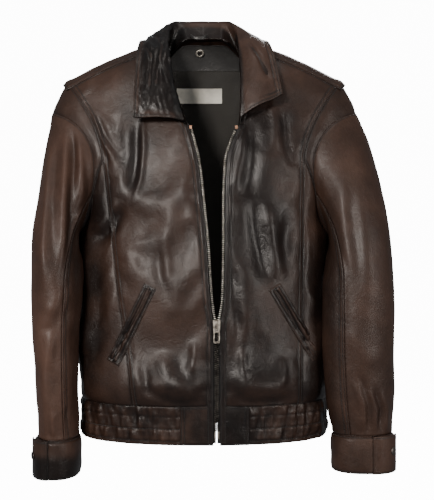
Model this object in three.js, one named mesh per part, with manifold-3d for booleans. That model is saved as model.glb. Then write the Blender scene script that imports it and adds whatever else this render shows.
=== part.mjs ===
// Leather riding jacket, blouson cut: zipped front, turn-down collar, slanted welt pockets, set-in sleeves
// with snap cuffs, and a gathered waistband. Millimetres, +Z up, front towards -Y, wearer's left on +X.
// The origin is the hanger's seat: inside the neck, level with the point where a hanger carries the jacket.

import * as THREE from 'three';
import { mergeVertices } from 'three/addons/utils/BufferGeometryUtils.js';
import Module from 'manifold-3d';

const wasm = await Module();
wasm.setup();

// ---------------------------------------------------------------- driving dimensions

const LEATHER = 2.0; // thickness of an outer leather panel with its interlining
const SEAM_GAP = 0.6; // running gap between two panels that are sewn edge to edge
const FIT_GAP = 0.8; // gap between two layers that follow the same curve
const LINING_DEPTH = 6.6; // how far the lining hangs inside the leather
const LINING = 1.0;

const WAIST_TOP = -546; // seam between body and waistband
const HEM = -606;
const ARMPIT = -275;
const YOKE = -112; // seam between the back yoke and the lower back
const ZIP_TOP = -117;
const ZIP_JUNCTION = -422; // where the two chains meet at the slider
const ZIP_X = 20.5; // the closed zip hangs this far to the wearer's left of the neck
const ZIP_SURFACE = 93; // how far in front of the side seams the closed zip lies
const CHAIN_HALF = 2.9; // half of a closed chain
const CHAIN_GAP = 1.2; // between the two chains, for the slider's post
const CHAIN_THICK = 3.0;
const PLACKET = 7.0; // from the zip's middle to the folded leather edge
const TAPE_WIDTH = 15;
const TAPE = 1.0;
const FACING_WIDTH = 58;

const SHOULDER_ROUND = 60; // how far below the shoulder line the shell starts to close
const STRAP_ANGLE = 45; // the shoulder strap covers the arch from here, in degrees, to the same on the back
const NECK_HALF = 68; // half width of the neck hole at the shoulder line

const WELT_LENGTH = 133;
const WELT_WIDTH = 21;
const WELT_GAP = 0.95; // a welt crosses a seam, so it stands a little further off
const SNAP_RADIUS = 6.5;
const CUFF_LEATHER = 2.4;

const OUTLINE_POWER = 2.2; // roundness of the body's plan outline

// Colours of the materials, with roughness and metalness.
const LOOKS = {
  leather: { color: 0x3a2a23, roughness: 0.42, metalness: 0 },
  lining: { color: 0x2a2722, roughness: 0.85, metalness: 0 },
  label: { color: 0xc9c7bd, roughness: 0.6, metalness: 0 },
  tape: { color: 0x141313, roughness: 0.9, metalness: 0 },
  metal: { color: 0x9c978c, roughness: 0.35, metalness: 1 },
  elastic: { color: 0x1d1b1a, roughness: 0.9, metalness: 0 },
};

// ---------------------------------------------------------------- small tools

const rad = THREE.MathUtils.degToRad;
const lerp = THREE.MathUtils.lerp;
const clamp = THREE.MathUtils.clamp;
const signedPower = (x, p) => Math.sign(x) * Math.abs(x) ** p;

// A smooth curve through [position, value] pairs in rising order, without overshoot and flat past both ends.
function profile(points) {
  const secant = (i) => (points[i + 1][1] - points[i][1]) / (points[i + 1][0] - points[i][0]);
  const slope = (i) => {
    if (i === 0) return secant(0);
    if (i === points.length - 1) return secant(i - 1);
    const before = secant(i - 1);
    const after = secant(i);
    return before * after > 0 ? (2 * before * after) / (before + after) : 0;
  };
  return (at) => {
    if (at <= points[0][0]) return points[0][1];
    const last = points.length - 1;
    if (at >= points[last][0]) return points[last][1];
    const i = points.findIndex((p) => p[0] > at) - 1;
    const span = points[i + 1][0] - points[i][0];
    const t = (at - points[i][0]) / span;
    const h = t * t * (3 - 2 * t);
    const start = (t ** 3 - 2 * t * t + t) * span * slope(i);
    const end = (t ** 3 - t * t) * span * slope(i + 1);
    return lerp(points[i][1], points[i + 1][1], h) + start + end;
  };
}

// The value at which a falling or rising function of [low, high] reaches a target.
function solve(fn, target, low, high) {
  const rising = fn(high) > fn(low);
  for (let i = 0; i < 22; i++) {
    const mid = (low + high) / 2;
    if (fn(mid) < target === rising) low = mid;
    else high = mid;
  }
  return (low + high) / 2;
}

const root = new THREE.Group();

function add(name, look, geometry) {
  const mesh = new THREE.Mesh(geometry, new THREE.MeshStandardMaterial(LOOKS[look]));
  mesh.name = name;
  root.add(mesh);
  return mesh;
}

// A geometry from shared points and triangles, with its faces turned outwards.
function solidGeometry(points, triangles) {
  const a = new THREE.Vector3();
  const b = new THREE.Vector3();
  const volume = triangles.reduce((sum, [i, j, k]) => {
    return sum + a.copy(points[i]).cross(b.copy(points[j])).dot(points[k]);
  }, 0);
  const index = triangles.flatMap(([i, j, k]) => (volume > 0 ? [i, j, k] : [i, k, j]));
  const geometry = new THREE.BufferGeometry().setFromPoints(points);
  geometry.setIndex(index);
  geometry.computeVertexNormals();
  return geometry;
}

// The surface at(u, v) without a margin of the given width along its edges.
function inset(at, gap, sides = { u: true, v: true }) {
  const length = (point) => {
    const steps = 4;
    let sum = 0;
    for (let i = 0; i < steps; i++) sum += point(i / steps).distanceTo(point((i + 1) / steps));
    return Math.max(sum, 4 * gap);
  };
  return (u, v) => {
    const gu = sides.u ? gap / length((t) => at(t, v)) : 0;
    const gv = sides.v ? gap / length((t) => at(u, t)) : 0;
    return at(lerp(gu, 1 - gu, u), lerp(gv, 1 - gv, v));
  };
}

// Outward normal of the surface at(u, v); inside(p) gives a point on its inner side.
function normalOf(at, u, v, inside) {
  const h = 1e-3;
  const du = at(Math.min(u + h, 1), v).sub(at(Math.max(u - h, 0), v));
  const dv = at(u, Math.min(v + h, 1)).sub(at(u, Math.max(v - h, 0)));
  const n = du.cross(dv).normalize();
  const p = at(u, v);
  return n.dot(p.clone().sub(inside(p, u, v))) < 0 ? n.negate() : n;
}

// A closed sheet between the offsets low and high of the surface at(u, v), or a ring if it closes in u.
// us can give the columns' own places instead of even ones.
function sheet({ at, us, nu = us.length - 1, nv, low, high, inside, ring = false }) {
  const columns = ring ? nu : nu + 1;
  const points = [];
  for (const offset of [low, high]) {
    for (let i = 0; i < columns; i++) {
      for (let j = 0; j <= nv; j++) {
        const u = us ? us[i] : i / nu;
        const v = j / nv;
        const n = normalOf(at, u, v, inside);
        points.push(at(u, v).addScaledVector(n, offset));
      }
    }
  }
  const id = (layer, i, j) => (layer * columns + (i % columns)) * (nv + 1) + j;
  const triangles = [];
  const quad = (a, b, c, d) => triangles.push([a, b, c], [a, c, d]);
  for (let i = 0; i < nu; i++) {
    for (let j = 0; j < nv; j++) {
      quad(id(1, i, j), id(1, i + 1, j), id(1, i + 1, j + 1), id(1, i, j + 1));
      quad(id(0, i, j), id(0, i, j + 1), id(0, i + 1, j + 1), id(0, i + 1, j));
    }
    quad(id(1, i, nv), id(1, i + 1, nv), id(0, i + 1, nv), id(0, i, nv));
    quad(id(1, i + 1, 0), id(1, i, 0), id(0, i, 0), id(0, i + 1, 0));
  }
  if (!ring) {
    for (let j = 0; j < nv; j++) {
      quad(id(1, 0, j), id(1, 0, j + 1), id(0, 0, j + 1), id(0, 0, j));
      quad(id(1, nu, j + 1), id(1, nu, j), id(0, nu, j), id(0, nu, j + 1));
    }
  }
  return solidGeometry(points, triangles);
}

// ---------------------------------------------------------------- the body's shape

// Half width at the side seams. Above the armpit it only shapes the curve of the front and back.
const halfWidth = profile([
  [HEM, 197],
  [WAIST_TOP, 198],
  [-505, 200],
  [-400, 191],
  [ARMPIT, 186],
  [-210, 199],
  [-120, 232],
  [-37, 258],
  [40, 262],
]);

const frontDepth = profile([
  [HEM, ZIP_SURFACE],
  [-395, ZIP_SURFACE],
  [ARMPIT, 84],
  [-150, 70],
  [-60, 53],
  [40, 42],
]);

const backDepth = profile([
  [HEM, 68],
  [WAIST_TOP, 70],
  [-510, 80],
  [-400, 74],
  [ARMPIT, 72],
  [-150, 68],
  [-60, 58],
  [40, 52],
]);

// Height of the shoulder line above a point at |x| from the middle.
function shoulderLine(x) {
  const past = Math.abs(x) - 75;
  return past < 0 ? 28 - 0.3 * past : 28 - 0.3 * past - 0.0009 * past * past;
}

// The front blouses out over the waistband, but not along the zip.
function blousing(x, z) {
  const fullness = 12 * Math.exp(-(((z - WAIST_TOP - 34) / 38) ** 2));
  return fullness * (1 - Math.exp(-(((x - ZIP_X) / 50) ** 2)));
}

// A point of the body's surface. angle is 0 at the front middle, 90 at the +X side seam and 180 at the back.
function body(angle, z) {
  const s = Math.sin(rad(angle));
  const c = Math.cos(rad(angle));
  const x = halfWidth(z) * signedPower(s, 2 / OUTLINE_POWER);
  const closing = clamp((shoulderLine(x) - z) / SHOULDER_ROUND, 0, 1);
  const depth = c > 0 ? frontDepth(z) : backDepth(z);
  const round = Math.sqrt(1 - (1 - closing) ** 2);
  const bulge = c > 0 ? blousing(x, z) * c : 0;
  const y = -depth * signedPower(c, 2 / OUTLINE_POWER) * round - bulge;
  return new THREE.Vector3(x, y, z);
}

// The angle at which the surface has this x, on the front or on the back.
function angleOf(x, z, back = false) {
  const share = clamp(Math.abs(x) / halfWidth(z), 0, 1) ** (OUTLINE_POWER / 2);
  const front = Math.sign(x) * THREE.MathUtils.radToDeg(Math.asin(share));
  return back ? (x < 0 ? -180 : 180) - front : front;
}

const bodyAt = (x, z, back = false) => body(angleOf(x, z, back), z);

// The arch over the shoulder at x: 0 is its foot on the front, 90 its top and 180 its foot on the back.
function arch(x, angle) {
  const z = shoulderLine(x) - SHOULDER_ROUND * (1 - Math.sin(rad(angle)));
  const p = bodyAt(x, z, angle > 90);
  return Math.abs(angle - 90) < 0.01 ? p.setY(0) : p;
}

const strapEdge = (x) => shoulderLine(x) - SHOULDER_ROUND * (1 - Math.sin(rad(STRAP_ANGLE)));

// The back neck rises from the straps' ends to the middle.
const NECK_RISE = 42;
const neckTop = profile([[0, NECK_RISE], [34, NECK_RISE - 3], [NECK_HALF, strapEdge(NECK_HALF)]]);
const yokeTop = (x) => (Math.abs(x) < NECK_HALF ? neckTop(Math.abs(x)) : strapEdge(x));
const bodyMiddle = (p) => new THREE.Vector3(p.x * 0.55, 0, Math.min(p.z, -60));

// ---------------------------------------------------------------- seams and edges

// Middle of each chain; both run together below the junction.
const chainRight = profile([
  [HEM, ZIP_X],
  [ZIP_JUNCTION - 6, ZIP_X],
  [-384, 15],
  [-308, 10],
  [-231, 2.5],
  [-168, -5],
  [ZIP_TOP, -18],
]);
const chainLeft = profile([
  [HEM, ZIP_X],
  [ZIP_JUNCTION - 6, ZIP_X],
  [-384, 27],
  [-308, 28.7],
  [-231, 29],
  [-168, 32],
  [ZIP_TOP, 49],
]);
// side is -1 for the wearer's right (-X) and +1 for the wearer's left (+X).
const chain = (side, z) => (side < 0 ? chainRight(z) : chainLeft(z));

// Above the zip the front edge turns into the neckline.
const neckline = (side, z) => {
  const end = chain(side, ZIP_TOP) + side * PLACKET;
  const t = clamp((z - ZIP_TOP) / (strapEdge(NECK_HALF) - ZIP_TOP), 0, 1);
  return lerp(end, side * NECK_HALF, Math.sin((t * Math.PI) / 2) ** 0.9);
};
const frontEdge = (side, z) =>
  z < ZIP_TOP ? chain(side, z) + side * PLACKET : neckline(side, z);

// The seam between the body and the armhole band: 0 is its top, 90 its front and 180 the armpit.
const ARMHOLE_TOP_X = 222;
const ARMHOLE_TOP = shoulderLine(ARMHOLE_TOP_X);
const armholeHeight = (angle) => {
  const c = Math.cos(rad(angle));
  return (ARMHOLE_TOP + ARMPIT) / 2 + ((ARMHOLE_TOP - ARMPIT) / 2) * c - 10 * (1 - c * c);
};
const ARMHOLE_CORNER = 90; // below this angle the seam bounds the front, above it the side panel
const armholeX = (angle) => {
  const s = Math.sin(rad(angle));
  return ARMHOLE_TOP_X - 12 * (1 - Math.cos(rad(angle))) - 52 * s * s;
};
const armholeXAt = (z) => armholeX(solve(armholeHeight, z, 0, ARMHOLE_CORNER));
const CORNER_HEIGHT = armholeHeight(ARMHOLE_CORNER);
const CORNER_X = armholeX(ARMHOLE_CORNER);

// The princess seams run from the waist to the corner of the armhole.
const princessRight = profile([
  [WAIST_TOP, -108],
  [-480, -116],
  [-390, -130],
  [-250, -148],
  [CORNER_HEIGHT, -CORNER_X],
]);
const princessLeft = profile([
  [WAIST_TOP, 152],
  [-390, 154],
  [CORNER_HEIGHT, CORNER_X],
]);
const princess = (side, z) => (side < 0 ? princessRight(z) : princessLeft(z));
const princessBack = profile([
  [WAIST_TOP, 128],
  [-350, 140],
  [CORNER_HEIGHT, CORNER_X],
]);

// Outer edge of the centre front, or of the centre back, at a height.
const frontSeam = (side, z) => (z > CORNER_HEIGHT ? side * armholeXAt(z) : princess(side, z));
const backSeam = (side, z) => side * (z > CORNER_HEIGHT ? armholeXAt(z) : princessBack(z));

// A point of the armhole seam on the body. angle runs 0..360: top, front, armpit, back.
function armhole(side, angle) {
  const back = angle > 180;
  const turned = back ? 360 - angle : angle;
  const z = armholeHeight(turned);
  if (turned <= ARMHOLE_CORNER) {
    if (turned < 0.01) return new THREE.Vector3(side * armholeX(0), 0, z);
    return bodyAt(side * armholeX(turned), z, back);
  }
  const share = (turned - ARMHOLE_CORNER) / (180 - ARMHOLE_CORNER);
  const edge = (back ? backSeam : frontSeam)(side, z);
  const start = Math.abs(angleOf(edge, z, back));
  return body(side * lerp(start, 90, share), z);
}

// The angle on the armhole seam where a shoulder strap's lower edge ends.
const STRAP_CORNER = solve((a) => armholeHeight(a) - strapEdge(armholeX(a)), 0, 0, 60);
const UPPER_SHARE = 0.4; // share of a centre panel's length above the corner of the armhole

// Height of a centre panel's outer edge: evenly down the princess seam, then by angle round the armhole.
function edgeHeight(v) {
  if (v < 1 - UPPER_SHARE) return lerp(WAIST_TOP, CORNER_HEIGHT, v / (1 - UPPER_SHARE));
  return armholeHeight(lerp(ARMHOLE_CORNER, STRAP_CORNER, (v - 1 + UPPER_SHARE) / UPPER_SHARE));
}

// A point between the two edges at a height, where the height itself rises to the top edge.
function between(inner, outer, u, z) {
  return lerp(inner(z), outer(z), u);
}

// Height of the top edge over the share u of a panel's width.
function topHeight(inner, outer, top, u) {
  let z = top(between(inner, outer, u, -30));
  for (let i = 0; i < 6; i++) z = top(between(inner, outer, u, z));
  return z;
}

function frontPanel(side) {
  const inner = (z) => frontEdge(side, z);
  const outer = (z) => frontSeam(side, z);
  const fall = edgeHeight(1);
  return (u, v) => {
    const top = topHeight(inner, outer, strapEdge, u);
    const z = lerp(WAIST_TOP, top, (edgeHeight(v) - WAIST_TOP) / (fall - WAIST_TOP));
    return bodyAt(between(inner, outer, u, z), z);
  };
}

function sidePanel(side, seam, back) {
  return (u, v) => {
    const top = armholeHeight(lerp(ARMHOLE_CORNER, 180, u));
    const z = lerp(WAIST_TOP, top, v);
    const start = Math.abs(angleOf(seam(side, z), z, back));
    return body(side * lerp(start, 90, u), z);
  };
}

// ---------------------------------------------------------------- body panels

function makeFronts() {
  for (const side of [-1, 1]) {
    const name = side < 0 ? 'right' : 'left';
    add('front_' + name, 'leather', sheet({
      at: inset(frontPanel(side), SEAM_GAP / 2),
      nu: 5, nv: 15, low: 0, high: LEATHER, inside: bodyMiddle,
    }));
    add('front_side_' + name, 'leather', sheet({
      at: inset(sidePanel(side, frontSeam, false), SEAM_GAP / 2),
      nu: 6, nv: 9, low: 0, high: LEATHER, inside: bodyMiddle,
    }));
  }
}

function makeBack() {
  const centre = (u, v) => {
    const z = lerp(WAIST_TOP, YOKE, v);
    return bodyAt(lerp(backSeam(-1, z), backSeam(1, z), u), z, true);
  };
  add('back_centre', 'leather', sheet({
    at: inset(centre, SEAM_GAP * 0.7), nu: 8, nv: 9, low: 0, high: LEATHER, inside: bodyMiddle,
  }));
  // The yoke's rows lie closer together towards its upper edge, where it curves over.
  const yoke = (u, v) => {
    const inner = (z) => backSeam(-1, z);
    const outer = (z) => backSeam(1, z);
    const z = lerp(YOKE, topHeight(inner, outer, yokeTop, u), 1 - (1 - v) ** 1.6);
    return bodyAt(between(inner, outer, u, z), z, true);
  };
  const halfColumns = [0.5, 1, 1.6, 2.2, 2.7].map((n) => (n * NECK_HALF) / ARMHOLE_TOP_X).concat(1);
  const us = [...halfColumns.map((x) => -x).reverse(), 0, ...halfColumns].map((x) => (x + 1) / 2);
  add('back_yoke', 'leather', sheet({
    at: inset(yoke, SEAM_GAP / 2), us, nv: 7, low: 0, high: LEATHER, inside: bodyMiddle,
  }));
  for (const side of [-1, 1]) {
    add('back_side_' + (side < 0 ? 'right' : 'left'), 'leather', sheet({
      at: inset(sidePanel(side, backSeam, true), SEAM_GAP / 2),
      nu: 6, nv: 9, low: 0, high: LEATHER, inside: bodyMiddle,
    }));
  }
}

// The straps run over the shoulders, from the neck to the armhole bands.
function makeShoulderStraps() {
  for (const side of [-1, 1]) {
    const at = (u, v) => {
      const angle = lerp(STRAP_ANGLE, 180 - STRAP_ANGLE, v);
      const drop = SHOULDER_ROUND * (1 - Math.sin(rad(angle)));
      const end = solve((a) => armholeHeight(a) - shoulderLine(armholeX(a)) + drop, 0, 0, STRAP_CORNER + 5);
      return arch(side * lerp(NECK_HALF, armholeX(end), u), angle);
    };
    add('shoulder_strap_' + (side < 0 ? 'right' : 'left'), 'leather', sheet({
      at: inset(at, SEAM_GAP), nu: 6, nv: 6, low: 0, high: LEATHER, inside: bodyMiddle,
    }));
  }
}

// ---------------------------------------------------------------- sleeves

// Stations from the shoulder seam (0) to the cuff seam (1): outer and inner line, and half depth.
const SLEEVES = {
  left: {
    outerX: [[0, 247], [0.12, 268], [0.25, 282], [0.45, 293.5], [0.65, 298], [0.85, 298], [1, 294]],
    innerX: [[0, 207], [0.12, 202], [0.25, 195], [0.45, 188], [0.65, 187], [0.85, 192], [1, 203]],
    depth: [[0, 48], [0.12, 50], [0.25, 48], [0.45, 43], [0.65, 40], [0.85, 37], [1, 33]],
    cuff: { outer: 297, inner: 203, depth: 34, top: -593, bottom: -651 },
  },
  right: {
    outerX: [[0, 247], [0.12, 255], [0.25, 261], [0.45, 268], [0.65, 266], [0.85, 261], [1, 258]],
    innerX: [[0, 207], [0.12, 202], [0.25, 195], [0.45, 192], [0.65, 197], [0.85, 198], [1, 197]],
    depth: [[0, 48], [0.12, 50], [0.25, 52], [0.45, 51], [0.65, 48], [0.85, 46], [1, 42]],
    cuff: { outer: 262, inner: 196, depth: 43, top: -598, bottom: -658 },
  },
};
const CUFF_SEAM = 0.3; // gap between a sleeve's end and its cuff
// Share of the way from the shoulder seam down to the cuff seam, on the outer and the inner line.
const outerFall = profile([[0, 0], [0.12, 0.107], [0.25, 0.235], [0.45, 0.423], [0.65, 0.63], [0.85, 0.848], [1, 1]]);
const innerFall = profile([[0, 0], [0.12, 0.046], [0.25, 0.122], [0.45, 0.276], [0.65, 0.516], [0.85, 0.796], [1, 1]]);
const SLEEVE_TOP = ARMHOLE_TOP - 50;
const SLEEVE_PIT = ARMPIT - 13;
const sleeveMiddleY = profile([[0, 0], [0.12, -14], [0.25, -33], [0.45, -53], [0.65, -59], [0.85, -58], [1, -54]]);
// Near the seam the front and back of the ring reach in round the shoulder.
const sleeveReach = profile([[0, 51.5], [0.12, 32], [0.25, 12], [0.45, 0], [1, 0]]);

for (const shape of Object.values(SLEEVES)) {
  shape.outer = profile(shape.outerX);
  shape.inner = profile(shape.innerX);
  shape.half = profile(shape.depth);
  shape.outerZ = (v) => lerp(SLEEVE_TOP, shape.cuff.top + CUFF_SEAM, outerFall(v));
  shape.innerZ = (v) => lerp(SLEEVE_PIT, shape.cuff.top + CUFF_SEAM, innerFall(v));
}

function sleeveMiddle(side, v) {
  const shape = SLEEVES[side < 0 ? 'right' : 'left'];
  return new THREE.Vector3(
    (side * (shape.outer(v) + shape.inner(v))) / 2,
    sleeveMiddleY(v),
    (shape.outerZ(v) + shape.innerZ(v)) / 2,
  );
}

// angle is 0 on the outer line, 90 on the front, 180 on the inner line and 270 on the back.
function sleeve(side, angle, v) {
  const shape = SLEEVES[side < 0 ? 'right' : 'left'];
  const s = Math.sin(rad(angle));
  const c = Math.cos(rad(angle));
  const middle = sleeveMiddle(side, v);
  const reach = sleeveReach(v) * s * s;
  const x = ((shape.outer(v) - shape.inner(v)) / 2) * c - reach;
  const z = ((shape.outerZ(v) - shape.innerZ(v)) / 2) * c + reach * 0.6;
  return middle.add(new THREE.Vector3(side * x, -shape.half(v) * s, z));
}

// A cuff's ring continues the sleeve; v is 0 at its seam and 1 at its lower edge.
function cuff(side, angle, v) {
  const { outer, inner, depth, top, bottom } = SLEEVES[side < 0 ? 'right' : 'left'].cuff;
  const middle = (outer + inner) / 2;
  const half = (outer - inner) / 2;
  const x = middle + half * signedPower(Math.cos(rad(angle)), 0.9);
  const y = sleeveMiddleY(1) - depth * signedPower(Math.sin(rad(angle)), 0.9);
  return new THREE.Vector3(side * x, y, lerp(top, bottom, v));
}

const UNDER_START = 120; // the two sleeve seams
const UNDER_END = 240;
const RING = 24; // columns round an armhole

function makeSleeve(side) {
  const name = side < 0 ? 'right' : 'left';
  const inside = (p, u, v) => sleeveMiddle(side, v);
  const top = (u, v) => sleeve(side, lerp(UNDER_END - 360, UNDER_START, u), v);
  const under = (u, v) => sleeve(side, lerp(UNDER_START, UNDER_END, u), v);
  add('sleeve_top_' + name, 'leather', sheet({
    at: inset(top, SEAM_GAP * 0.7), nu: (RING * 2) / 3, nv: 12, low: 0, high: LEATHER, inside,
  }));
  add('sleeve_under_' + name, 'leather', sheet({
    at: inset(under, SEAM_GAP / 2), nu: RING / 3, nv: 13, low: 0, high: LEATHER, inside,
  }));
  // The lining stops short of the shoulder seam, so that it clears the band as the sleeve swings.
  const short = 0.24;
  const lining = (u, v) => sleeve(side, 360 * u, lerp(short, 1, v));
  add('sleeve_lining_' + name, 'lining', sheet({
    at: inset(lining, SEAM_GAP, { v: true }),
    nu: RING, nv: 12, low: -FIT_GAP - LINING - 0.8, high: -FIT_GAP - 0.8, inside, ring: true,
  }));
}

// The band between the body's armhole seam and the sleeve's seam. It turns sharply under the arm, where it
// keeps a wider gap so that its thickness clears both neighbours.
function makeArmholeBand(side) {
  const at = (u, v) => {
    const angle = (360 * u) % 360;
    const from = armhole(side, angle);
    const to = sleeve(side, angle, 0);
    const gap = SEAM_GAP + 5 * clamp(1 - Math.cos(rad(angle)), 0, 1) ** 0.5;
    const margin = gap / from.distanceTo(to);
    return from.lerp(to, lerp(margin, 1 - margin, v));
  };
  const inside = () => new THREE.Vector3(side * 190, 0, -160);
  add('armhole_band_' + (side < 0 ? 'right' : 'left'), 'leather', sheet({
    at, nu: RING, nv: 2, low: 0, high: LEATHER, inside, ring: true,
  }));
}

// ---------------------------------------------------------------- cuffs

const TAB_END = 14;
const TAB_ROOT = 76;
const SNAP_ANGLE = 36;
const SNAP_SHARE = 0.42; // how far down the cuff the snap sits
const TAB_LIFT = CUFF_LEATHER + FIT_GAP; // the tab laps over the band's other end

// A frame standing on the cuff at an angle: its centre, and its outward normal along local +Z.
function standOnCuff(side, angle, v, offset) {
  const at = (a, b) => cuff(side, lerp(0, 360, a), b);
  const inside = () => cuff(side, 0, v).lerp(cuff(side, 180, v), 0.5);
  const n = normalOf(at, angle / 360, v, inside);
  const p = cuff(side, angle, v).addScaledVector(n, offset);
  const turn = new THREE.Quaternion().setFromUnitVectors(new THREE.Vector3(0, 0, 1), n);
  return { p, turn };
}

// A turned piece: [radius, height] pairs round local Z, from axis to axis.
function turned(outline, segments = 16) {
  const geometry = new THREE.LatheGeometry(outline.map(([r, h]) => new THREE.Vector2(r, h)), segments);
  geometry.rotateX(Math.PI / 2);
  geometry.deleteAttribute('normal');
  geometry.deleteAttribute('uv');
  return mergeVertices(geometry, 1e-4);
}

function place(geometry, { p, turn }) {
  return geometry.applyQuaternion(turn).translate(p.x, p.y, p.z);
}

function makeCuff(side) {
  const name = side < 0 ? 'right' : 'left';
  const inside = (p) => cuff(side, 0, 0).lerp(cuff(side, 180, 0), 0.5).setZ(p.z);
  const band = (u, v) => cuff(side, lerp(TAB_ROOT + 1, TAB_ROOT + 354, u), v);
  const tab = (u, v) => cuff(side, lerp(TAB_END, TAB_ROOT, u), v);
  add('cuff_band_' + name, 'leather', sheet({
    at: inset(band, SEAM_GAP / 2), nu: 24, nv: 1, low: 0, high: CUFF_LEATHER, inside,
  }));
  add('cuff_tab_' + name, 'leather', sheet({
    at: inset(tab, SEAM_GAP / 2), nu: 6, nv: 1, low: TAB_LIFT, high: TAB_LIFT + CUFF_LEATHER, inside,
  }));
  const seat = TAB_LIFT + CUFF_LEATHER + 0.5;
  const cap = turned([[0, 0], [SNAP_RADIUS, 0], [SNAP_RADIUS, 1], [SNAP_RADIUS - 2, 2], [0, 2.2]]);
  add('snap_cap_' + name, 'metal', place(cap, standOnCuff(side, SNAP_ANGLE, SNAP_SHARE, seat)));
  // The stud is riveted through the band and shows on its inner face, under the tab.
  const stud = turned([[0, 0], [4, 0], [4, 1], [0, 1.4]], 12);
  const back = standOnCuff(side, SNAP_ANGLE, SNAP_SHARE, -0.9);
  back.turn.multiply(new THREE.Quaternion().setFromAxisAngle(new THREE.Vector3(1, 0, 0), Math.PI));
  add('snap_stud_' + name, 'metal', place(stud, back));
}

// ---------------------------------------------------------------- waistband

const TAB_EDGES = { right: -35, left: 70 }; // where the flat tabs meet the gathered band

function makeWaistband() {
  const strip = (from, to) => (u, v) => body(lerp(from, to, u), lerp(HEM, WAIST_TOP, v));
  const edge = (x) => angleOf(x, HEM);
  const ring = (name, from, to, nu) => add(name, 'leather', sheet({
    at: inset(strip(from, to), SEAM_GAP / 2), nu, nv: 2, low: 0, high: LEATHER, inside: bodyMiddle,
  }));
  for (const side of [-1, 1]) {
    const name = side < 0 ? 'right' : 'left';
    const tabEnd = edge(TAB_EDGES[name]);
    ring('waist_tab_' + name, edge(ZIP_X + side * PLACKET), tabEnd, 3);
    ring('waistband_' + name, tabEnd, side * 90, 8);
  }
  ring('waistband_back', 90, 270, 16);
  // The elastic runs from tab to tab inside the band, and the lining is sewn to its top edge.
  const elastic = (u, v) => {
    const start = edge(TAB_EDGES.left);
    const end = 360 + edge(TAB_EDGES.right);
    return body(lerp(start, end, u), lerp(HEM + 4, WAIST_TOP, v));
  };
  add('waist_elastic', 'elastic', sheet({
    at: inset(elastic, SEAM_GAP / 2),
    nu: 36, nv: 1, low: -LINING_DEPTH - 0.4, high: -FIT_GAP - 1.4, inside: bodyMiddle,
  }));
}

// ---------------------------------------------------------------- inside

// The lining hangs inside the leather: each front runs from the waist up and over the shoulder.
const OVER_SHOULDER = 0.8; // share of a front lining's length below the shoulder strap

function makeLining() {
  const gap = SEAM_GAP;
  const margin = 5; // from the armhole seam
  const armholeSide = (z) => armholeXAt(Math.max(z, CORNER_HEIGHT)) - margin;
  // From the armhole's corner down, the outer edge moves from the armhole to the side seam.
  const across = (side, innerX, u, z, back) => {
    const upper = Math.abs(angleOf(side * lerp(innerX, armholeSide(z), u), z, back));
    const inner = Math.abs(angleOf(side * innerX, z, back));
    const weight = clamp((CORNER_HEIGHT - z) / (CORNER_HEIGHT - ARMPIT), 0, 1);
    return body(side * lerp(upper, lerp(inner, 90, u), weight), z);
  };
  for (const side of [-1, 1]) {
    const innerX = (z) => Math.max(side * frontEdge(side, z) + FACING_WIDTH, NECK_HALF + 3);
    const at = (u, v) => {
      const top = topHeight(innerX, armholeSide, strapEdge, u);
      if (v > OVER_SHOULDER) {
        const turn = (v - OVER_SHOULDER) / (1 - OVER_SHOULDER);
        const x = between(innerX, armholeSide, u, top);
        return arch(side * x, lerp(STRAP_ANGLE, 180 - STRAP_ANGLE - 12, turn));
      }
      const z = lerp(WAIST_TOP, top, v / OVER_SHOULDER);
      return across(side, innerX(z), u, z, false);
    };
    add('lining_front_' + (side < 0 ? 'right' : 'left'), 'lining', sheet({
      at: inset(at, gap), nu: 6, nv: 20,
      low: -LINING_DEPTH - LINING, high: -LINING_DEPTH, inside: bodyMiddle,
    }));
  }
  const back = (u, v) => {
    const side = u < 0.5 ? -1 : 1;
    const share = Math.abs(2 * u - 1);
    const topX = share * armholeSide(NECK_FACING_LOW);
    const z = lerp(WAIST_TOP, Math.min(strapEdge(topX) - 8, NECK_FACING_LOW), v);
    return across(side, 0, share, z, true);
  };
  add('lining_back', 'lining', sheet({
    at: inset(back, gap), nu: 16, nv: 14,
    low: -LINING_DEPTH - LINING, high: -LINING_DEPTH, inside: bodyMiddle,
  }));
}

const NECK_FACING_LOW = -2;

function makeFacings() {
  for (const side of [-1, 1]) {
    const strip = (u, v) => {
      const z = lerp(WAIST_TOP, -30, v);
      const edge = frontEdge(side, z) + side * 1.5;
      return bodyAt(lerp(edge, edge + side * (FACING_WIDTH - 3), u), z);
    };
    add('front_facing_' + (side < 0 ? 'right' : 'left'), 'leather', sheet({
      at: inset(strip, SEAM_GAP), nu: 3, nv: 18, low: -5.8, high: -4.6, inside: bodyMiddle,
    }));
  }
  const facing = (u, v) => {
    const x = lerp(-60, 60, u);
    return bodyAt(x, lerp(NECK_FACING_LOW - 7, neckTop(Math.abs(x)) - 3, v), true);
  };
  add('neck_facing', 'leather', sheet({
    at: inset(facing, SEAM_GAP), nu: 8, nv: 4, low: -5.8, high: -4.4, inside: bodyMiddle,
  }));
}

// A frame on the inside of the back: local +Z points forwards, into the jacket.
function standInside(x, z, offset) {
  const h = 0.5;
  const du = bodyAt(x + h, z, true).sub(bodyAt(x - h, z, true));
  const dv = bodyAt(x, z + h, true).sub(bodyAt(x, z - h, true));
  const n = du.cross(dv).normalize();
  if (n.y > 0) n.negate();
  const turn = new THREE.Quaternion().setFromUnitVectors(new THREE.Vector3(0, 0, 1), n);
  return { p: bodyAt(x, z, true).addScaledVector(n, offset), turn };
}

const NECK_MIDDLE = -9; // the neck's middle hangs a little towards the wearer's right

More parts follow.
